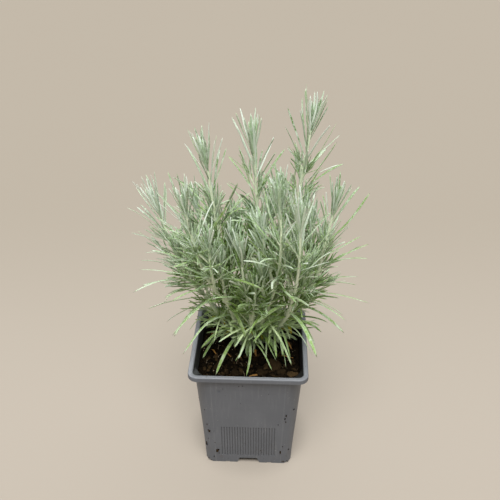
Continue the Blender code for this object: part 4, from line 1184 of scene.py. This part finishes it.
class CrownLeaf(Leaf):
    """A short broad leaf, low on a main stem, that lies over the crown."""

    def __init__(self, shoot, index, draw):
        super().__init__(shoot, index, shoot.length - shoot.run_at(draw.uniform(CROWN_LOW, CROWN_HIGH)))
        self.turn = index * GOLDEN_TURN + draw.uniform(-0.5, 0.5)
        self.length = draw.uniform(*CROWN_LENGTH)
        self.width = draw.uniform(*CROWN_WIDTH)
        self.lift = draw.uniform(0.05, 0.75)
        self.rest = SOIL_TOP + draw.uniform(0.0022, 0.0040)

    def shape(self):
        """Its root, middle, tip and facing: outwards, then drooping to the compost."""
        root = self.stand()[0]
        away = self.length * np.array((math.cos(self.turn), math.sin(self.turn), 0.0))
        tip = root + away
        tip[2] = max(self.rest, root[2] + self.length * (self.lift - 0.45))
        middle = root + 0.52 * away
        middle[2] = max(root[2], tip[2]) + 0.16 * self.length
        return root, middle, tip, UP - 0.4 * unit(away)


class Litter(Leaf):
    """A fallen leaf, which has only a width."""

    depth = 0.2
    index = 5000

    def __init__(self, width):
        self.width = width


def segment_gaps(start, end, starts, ends):
    """The least distance from one line segment to each of many."""
    d1 = end - start
    d2 = ends - starts
    r = start - starts
    a = np.dot(d1, d1)
    e = np.maximum(np.einsum("ij,ij->i", d2, d2), 1e-12)
    f = np.einsum("ij,ij->i", d2, r)
    c = r @ d1
    b = d2 @ d1
    denominator = np.maximum(a * e - b * b, 1e-14)
    s = np.clip((b * f - c * e) / denominator, 0, 1)
    t = np.clip((b * s + f) / e, 0, 1)
    s = np.clip((b * t - c) / a, 0, 1)
    return np.linalg.norm((start + s[:, None] * d1) - (starts + t[:, None] * d2), axis=1)


class Thicket:
    """The segments of stems and leaves placed so far, by the cells of space that they pass."""

    def __init__(self):
        self.rows = np.zeros((65536, 9))
        self.count = 0
        self.nodes = {}
        self.cells = {}

    def spots(self, start, end, margin):
        """The cells that a segment's box passes, grown by a margin."""
        low = np.floor((np.minimum(start, end) - margin) / CELL).astype(int)
        high = np.floor((np.maximum(start, end) + margin) / CELL).astype(int)
        return itertools.product(*[range(a, b + 1) for a, b in zip(low, high)])

    def add(self, start, end, radius, node, root=False):
        """Adds one segment. A leaf's root may cross its own node, which it is fused with."""
        number = self.nodes.setdefault(node, len(self.nodes))
        self.rows[self.count] = (*start, *end, radius, number, root)
        for spot in self.spots(start, end, CELL_MARGIN):
            self.cells.setdefault(spot, []).append(self.count)
        self.count += 1

    def clear_of(self, start, end, radius, node, root, other_gap=OTHER_GAP, own_gap=OWN_GAP):
        """Whether a segment keeps its gap to other nodes, and doesn't cross its own node's leaves."""
        near = set()
        for spot in self.spots(start, end, 0.0):
            near.update(self.cells.get(spot, ()))
        if not near:
            return True
        rows = self.rows[sorted(near)]
        gaps = segment_gaps(start, end, rows[:, 0:3], rows[:, 3:6]) - rows[:, 6] - radius
        own = rows[:, 7] == self.nodes.get(node, -1)
        wanted = np.where(own, own_gap, other_gap)
        return bool(np.all((gaps > wanted) | (own & ((rows[:, 8] > 0) | root))))


def inside_wall(x, y):
    """Whether a place over the compost keeps clear of the pot's wall and of its corners."""
    half = inner_half(SOIL_TOP) - WALL_FREE
    return max(abs(x), abs(y)) < half and abs(x) + abs(y) < 2 * half - body_corner(SOIL_TOP)


def outside_pot(points):
    """Whether a leaf's points keep clear of the pot and the compost and inside the reach."""
    return all(
        (z >= POT_HEIGHT + RIM_FREE or inside_wall(x, y)) and SOIL_TOP + SOIL_FREE <= z <= TOP_OF_PLANT
        and abs(x) <= REACH_X and abs(y) <= REACH_Y for x, y, z in points)


def settle(leaf, thicket, placed, radius, tries, **gaps):
    """Places a leaf in the first shape that clears the pot, the stems and other leaves."""
    for scale, spread, turn in tries:
        shape = leaf.shape(turn, spread, scale)
        root, middle, tip, _ = shape
        free = root + ROOT_FREE * (middle - root)
        if not outside_pot((free, middle, (middle + tip) / 2, tip)):
            continue
        segments = ((root, free, True), (free, middle, False), (middle, tip, False))
        node = leaf.shoot.node
        if all(thicket.clear_of(start, end, radius, node, held, **gaps) for start, end, held in segments):
            for start, end, held in segments:
                thicket.add(start, end, radius, node, held)
            placed.append((leaf, shape))
            return


def in_turns(waiting):
    """Takes one leaf from each shoot's list in turn, until all are taken."""
    return [leaf for row in itertools.zip_longest(*waiting) for leaf in row if leaf is not None]


def special_leaves(shoot):
    """A main stem's long leaves, and its basal leaves but those over the open front."""
    if shoot.side:
        return [], []
    basal = [BasalLeaf(shoot, index) for index in range(BASAL_COUNT)]
    long = [LongLeaf(shoot, index, *row) for index, row in enumerate(STEMS[shoot.node][2])]
    return long, [leaf for leaf in basal if leaf.shape()[2][1] > BASAL_FRONT]


def bare_side(shoot, depth, radial, share):
    """Whether a place is on the side of an open stem that has shed its leaves."""
    return (not shoot.side and shoot.node in OPEN_STEMS and depth >= OPEN_DEPTH
            and np.dot(radial, OPEN_SIDE) > share)


def spiral_leaves(shoot):
    """A shoot's leaves up its spiral, less those that have been shed."""
    leaves = []
    for index, depth in enumerate(leaf_depths(shoot)):
        leaf = Leaf(shoot, index, depth)
        _, _, normal, across = leaf.stand()
        if not bare_side(shoot, depth, around(leaf.turn, normal, across), OPEN_SHARE):
            leaves.append(leaf)
    return leaves


def place_leaves(shoots):
    """The model's leaves in the model's own order, and then the finer ones between them."""
    thicket = Thicket()
    for shoot in shoots:
        places = np.linspace(0, shoot.length, 13)
        for low, high in zip(places, places[1:]):
            thicket.add(shoot.point(low), shoot.point(high), shoot.radius(low), shoot.node)
    tries = list(itertools.product(TRY_LENGTHS, TRY_SPREADS, TRY_TURNS))
    placed, small, spurs, every, rest = [], [], [], [], []
    for shoot in shoots:
        leaves = spiral_leaves(shoot)
        long, basal = special_leaves(shoot)
        every.append(long + [leaf for leaf in leaves if leaf.index % EVERY == 0] + basal)
        rest.append([leaf for leaf in leaves if leaf.index % EVERY == 1])
    for leaf in in_turns(every):
        settle(leaf, thicket, placed, LEAF_RADIUS, tries)
    for leaf in in_turns(rest):
        settle(leaf, thicket, placed, FINE_RADIUS, tries[:40], other_gap=0.0001)
    for leaf in in_turns([small_leaves(shoot, spurs) for shoot in shoots]):
        settle(leaf, thicket, small, SMALL_RADIUS, tries[:8], other_gap=0.0, own_gap=-0.0008)
    return placed, small, spurs


def small_leaves(shoot, spurs):
    """The leaves of the short leafy spurs in a shoot's axils, and the spurs' own lines."""
    draw = random.Random(SEED * 31 + shoot.number)
    leaves = []
    depth = SPUR_DEPTH * 0.6 if shoot.side else SPUR_DEPTH
    spur = 0
    while depth < shoot.length - shoot.lowest(0.010, 0.004):
        run = shoot.length - depth
        tangent, normal, across = shoot.frame(run)
        radial = around(spur * GOLDEN_TURN + draw.uniform(-0.5, 0.5), normal, across)
        heading = unit(around(math.radians(draw.uniform(28, 58)), tangent, radial) + 0.25 * UP)
        base = shoot.point(run)
        reach = draw.uniform(0.005, 0.019)
        if not bare_side(shoot, depth, radial, 0.1):
            spurs.append((shoot.node, base, base + reach * heading, depth))
            for step in range(SMALL_LEAVES):
                share = 0.35 + 0.65 * step / (SMALL_LEAVES - 1)
                place = base + share * reach * heading
                leaves.append(SmallLeaf(shoot, spur * 40 + step, place, heading, depth, draw))
        spur += 1
        depth += SPUR_STEP * draw.uniform(0.8, 1.3)
    return leaves


# Stems and leaves: how they look

def width_along(t):
    """A blade's width along it, as a share of its widest."""
    grow = 0.50 + 0.50 * np.clip(t / 0.30, 0, 1) ** 0.8
    return grow * np.sqrt(np.clip(1 - np.clip((t - 0.68) / 0.335, 0, 1) ** 2.2, 0, 1))


def slimness(leaf):
    """How much slimmer a blade is than the model's, which can't be so thin."""
    if isinstance(leaf, SmallLeaf) or leaf.index >= BASAL_INDEX:
        return 0.95
    return 0.74 + 0.14 * min(1.0, leaf.depth / 0.1)


def leaf_age(leaf):
    """How old a leaf is, from 0 in the bud to 1 at the compost."""
    if isinstance(leaf, LongLeaf) and abs(leaf.end[0]) > RIM_WIDTH / 2:
        return 0.40
    if isinstance(leaf, (BasalLeaf, LongLeaf)):
        return 0.92
    if isinstance(leaf, SmallLeaf):
        return 0.25 + min(0.55, leaf.depth / 0.2)
    return min(1.0, leaf.depth / OLD_DEPTH)


def shade(points):
    """How deep inside the plant each point lies, where leaves get little light."""
    x, y, z = points.T
    reach = np.interp(z, (0.090, 0.130, 0.200), (0.026, 0.056, 0.080))
    back = np.where(y < 0.010, 1.45, 0.8) * (y - 0.010)
    inside = np.clip(1.20 - np.hypot(x - 0.002, back) / reach, 0, 1)
    return inside * np.clip((0.215 - z) / 0.075, 0, 1)


# The share of that shade that each kind of leaf takes, where it isn't all of it
SHADE_SHARE = {CrownLeaf: 0.45, LongLeaf: 0.25}


def add_blade(sheaf, leaf, shape, draw, stations, thickness, slot=0, section=BLADE_SECTION):
    """A blade: its section drawn along its curve, twisted and a little uneven."""
    root, middle, tip, face = shape
    control = 2 * middle - 0.5 * (root + tip)
    t = 1 - (1 - np.linspace(0, 1, stations + 1)[:-1]) ** 1.12
    s = t[:, None]
    line = arc(root, control, tip, s)
    ahead = 2 * (1 - s) * (control - root) + 2 * s * (tip - control)
    ahead /= np.linalg.norm(ahead, axis=1)[:, None]
    up = face - ahead * (ahead @ face)[:, None]
    up /= np.maximum(np.linalg.norm(up, axis=1), 1e-6)[:, None]
    across = np.cross(ahead, up)
    sway = np.linalg.norm(tip - root) * draw.uniform(0.006, 0.022)
    phase, turns = draw.uniform(0, math.tau), draw.uniform(0.8, 2.0)
    wave = (np.sin(phase + turns * math.pi * t) - math.sin(phase)) * t * (1 - t) * 4
    line = line + sway * wave[:, None] * across
    twist = (draw.uniform(-0.9, 0.9) * t + draw.uniform(-0.35, 0.35))[:, None]
    side = np.cos(twist) * across + np.sin(twist) * up
    top = np.cos(twist) * up - np.sin(twist) * across
    width = leaf.width * slimness(leaf)
    half = width / 2 * width_along(t)
    thick = thickness * width / 2 * np.maximum(width_along(t), 0.35)
    points = (line[:, None, :] + (half[:, None] * section[:, 0])[:, :, None] * side[:, None, :]
              + (thick[:, None] * section[:, 1])[:, :, None] * top[:, None, :])
    points = np.vstack((points.reshape(-1, 3), tip))
    even = isinstance(leaf, (BasalLeaf, LongLeaf, CrownLeaf))
    values = {
        "age": leaf_age(leaf),
        "tone": draw.uniform(0.30, 0.66) if even else draw.random(),
        "along": np.append(np.repeat(t, len(section)), 1.0),
        "under": np.append(np.tile((section[:, 1] < -0.5).astype(float), stations), 0.5),
        "edge": np.append(np.tile(np.abs(section[:, 0]), stations), 0.5),
        "shade": shade(points) * SHADE_SHARE.get(type(leaf), 1.0),
    }
    sheaf.add(points, ring_faces(stations, len(section))[:, ::-1], values, slot)


def add_axis(sheaf, shoot, sides=14, step=0.0011):
    """A shoot's stem: a tube, uneven with wool and with the feet of shed leaves."""
    count = max(8, round(shoot.length / step))
    points, ages = [], []
    for run in np.linspace(0, shoot.length, count + 1):
        centre = shoot.point(run)
        _, normal, across = shoot.frame(run)
        radius = shoot.radius(run) * np.interp(run / shoot.length, (0.10, 0.45, 1.0), (1.04, 0.84, 0.80))
        for turn in np.linspace(0, math.tau, sides, endpoint=False):
            out = around(turn, normal, across)
            rough = noise.noise(Vector((4 * turn / math.tau * 3, run / 0.0028, shoot.number * 7.3)))
            fuzz = noise.noise(Vector(centre + out * radius) / 0.0009)
            swell = 1.0 if run < 0.001 and not shoot.side else 1 + 0.13 * rough + 0.07 * fuzz
            points.append(centre + radius * swell * out)
            ages.append(min(1.0, (shoot.length - run) / OLD_DEPTH))
    end = shoot.point(shoot.length) + 0.0006 * shoot.frame(shoot.length)[0]
    points = np.array([*points, end])
    values = {"age": [*ages, 0.0], "tone": 0.5, "shade": 0.5 * shade(points)}
    sheaf.add(points, ring_faces(count + 1, sides), values, 1)


def add_scars(sheaf, shoot):
    """The woolly pegs that shed leaves leave on the lower part of a stem."""
    draw = random.Random(SEED * 11 + shoot.number)
    run = shoot.lowest(0.004, 0.002)
    index = 0
    while run < shoot.length * 0.62:
        tangent, normal, across = shoot.frame(run)
        out = around(index * GOLDEN_TURN + 0.8, normal, across)
        base = shoot.point(run) + out * shoot.radius(run) * 0.7
        end = base + draw.uniform(0.0008, 0.0024) * (out + 0.8 * tangent)
        middle = (base + end) / 2 + 0.0001 * out
        radius = draw.uniform(0.00035, 0.00055)
        rod(sheaf, (base, middle, end), radius, {"age": 0.6, "tone": draw.random()}, 6, 4)
        run += draw.uniform(0.0018, 0.0034)
        index += 1


def bud_leaves(shoot):
    """The youngest leaves, which close over the growing tip."""
    draw = random.Random(SEED * 17 + shoot.number)
    made = []
    for index in range(BUD_LEAVES):
        share = index / (BUD_LEAVES - 1)
        leaf = Leaf(shoot, 3000 + index, 0.0008 + 0.006 * share)
        leaf.turn = index * GOLDEN_TURN + 0.6
        leaf.spread = math.radians(2 + 15 * share + draw.uniform(-2, 2))
        leaf.length = LEAF_LENGTH * (0.36 + 0.50 * share) * draw.uniform(0.85, 1.05)
        leaf.length *= SIDE_SHARE if shoot.side else 1.0
        leaf.width = LEAF_WIDTH * (0.60 + 0.18 * share)
        made.append(leaf)
    return made


def build_plant():
    """Every leafy stem: its wool-coated axes, its leaves and its spurs."""
    shoots = make_shoots()
    placed, small, spurs = place_leaves(shoots)
    old = old_leaf_material("old_leaf", (0.33, 0.42, 0.035), (0.52, 0.40, 0.035), (0.22, 0.11, 0.030))
    materials = [leaf_material(), wool_material(), old]
    for node in STEMS:
        draw = random.Random(f"{SEED} {node}")
        sheaf = Sheaf(node + "_leafy")
        own = [shoot for shoot in shoots if shoot.node == node]
        for shoot in own:
            add_axis(sheaf, shoot)
            add_scars(sheaf, shoot)
            for leaf in bud_leaves(shoot):
                add_blade(sheaf, leaf, leaf.shape(), draw, 8, 0.34)
        for spur_node, base, end, depth in spurs:
            if spur_node == node:
                values = {"age": min(1.0, depth / OLD_DEPTH), "tone": 0.5}
                rod(sheaf, (base, (base + end) / 2, end), 0.00055, values, 6, 5)
        for leaf, shape in placed:
            if leaf.shoot.node == node:
                add_blade(sheaf, leaf, shape, draw, 11 if leaf.index >= BASAL_INDEX else 9, 0.30)
        for leaf, shape in small:
            if leaf.shoot.node == node:
                add_blade(sheaf, leaf, shape, draw, 6, 0.42, section=SMALL_SECTION)
        for index in range(CROWN_COUNT):
            leaf = CrownLeaf(own[0], 4000 + index, draw)
            shape = leaf.shape()
            if inside_wall(*shape[2][:2]):
                slot = 2 if draw.random() < CROWN_OLD else 0
                add_blade(sheaf, leaf, shape, draw, 9, 0.30, slot)
        sheaf.make(materials, "foliage", node)


# The whole scene

def main():
    """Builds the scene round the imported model."""
    add_camera()
    add_studio()
    build_pot()
    build_soil()
    build_crumbs()
    build_dirt()
    build_plant()


main()
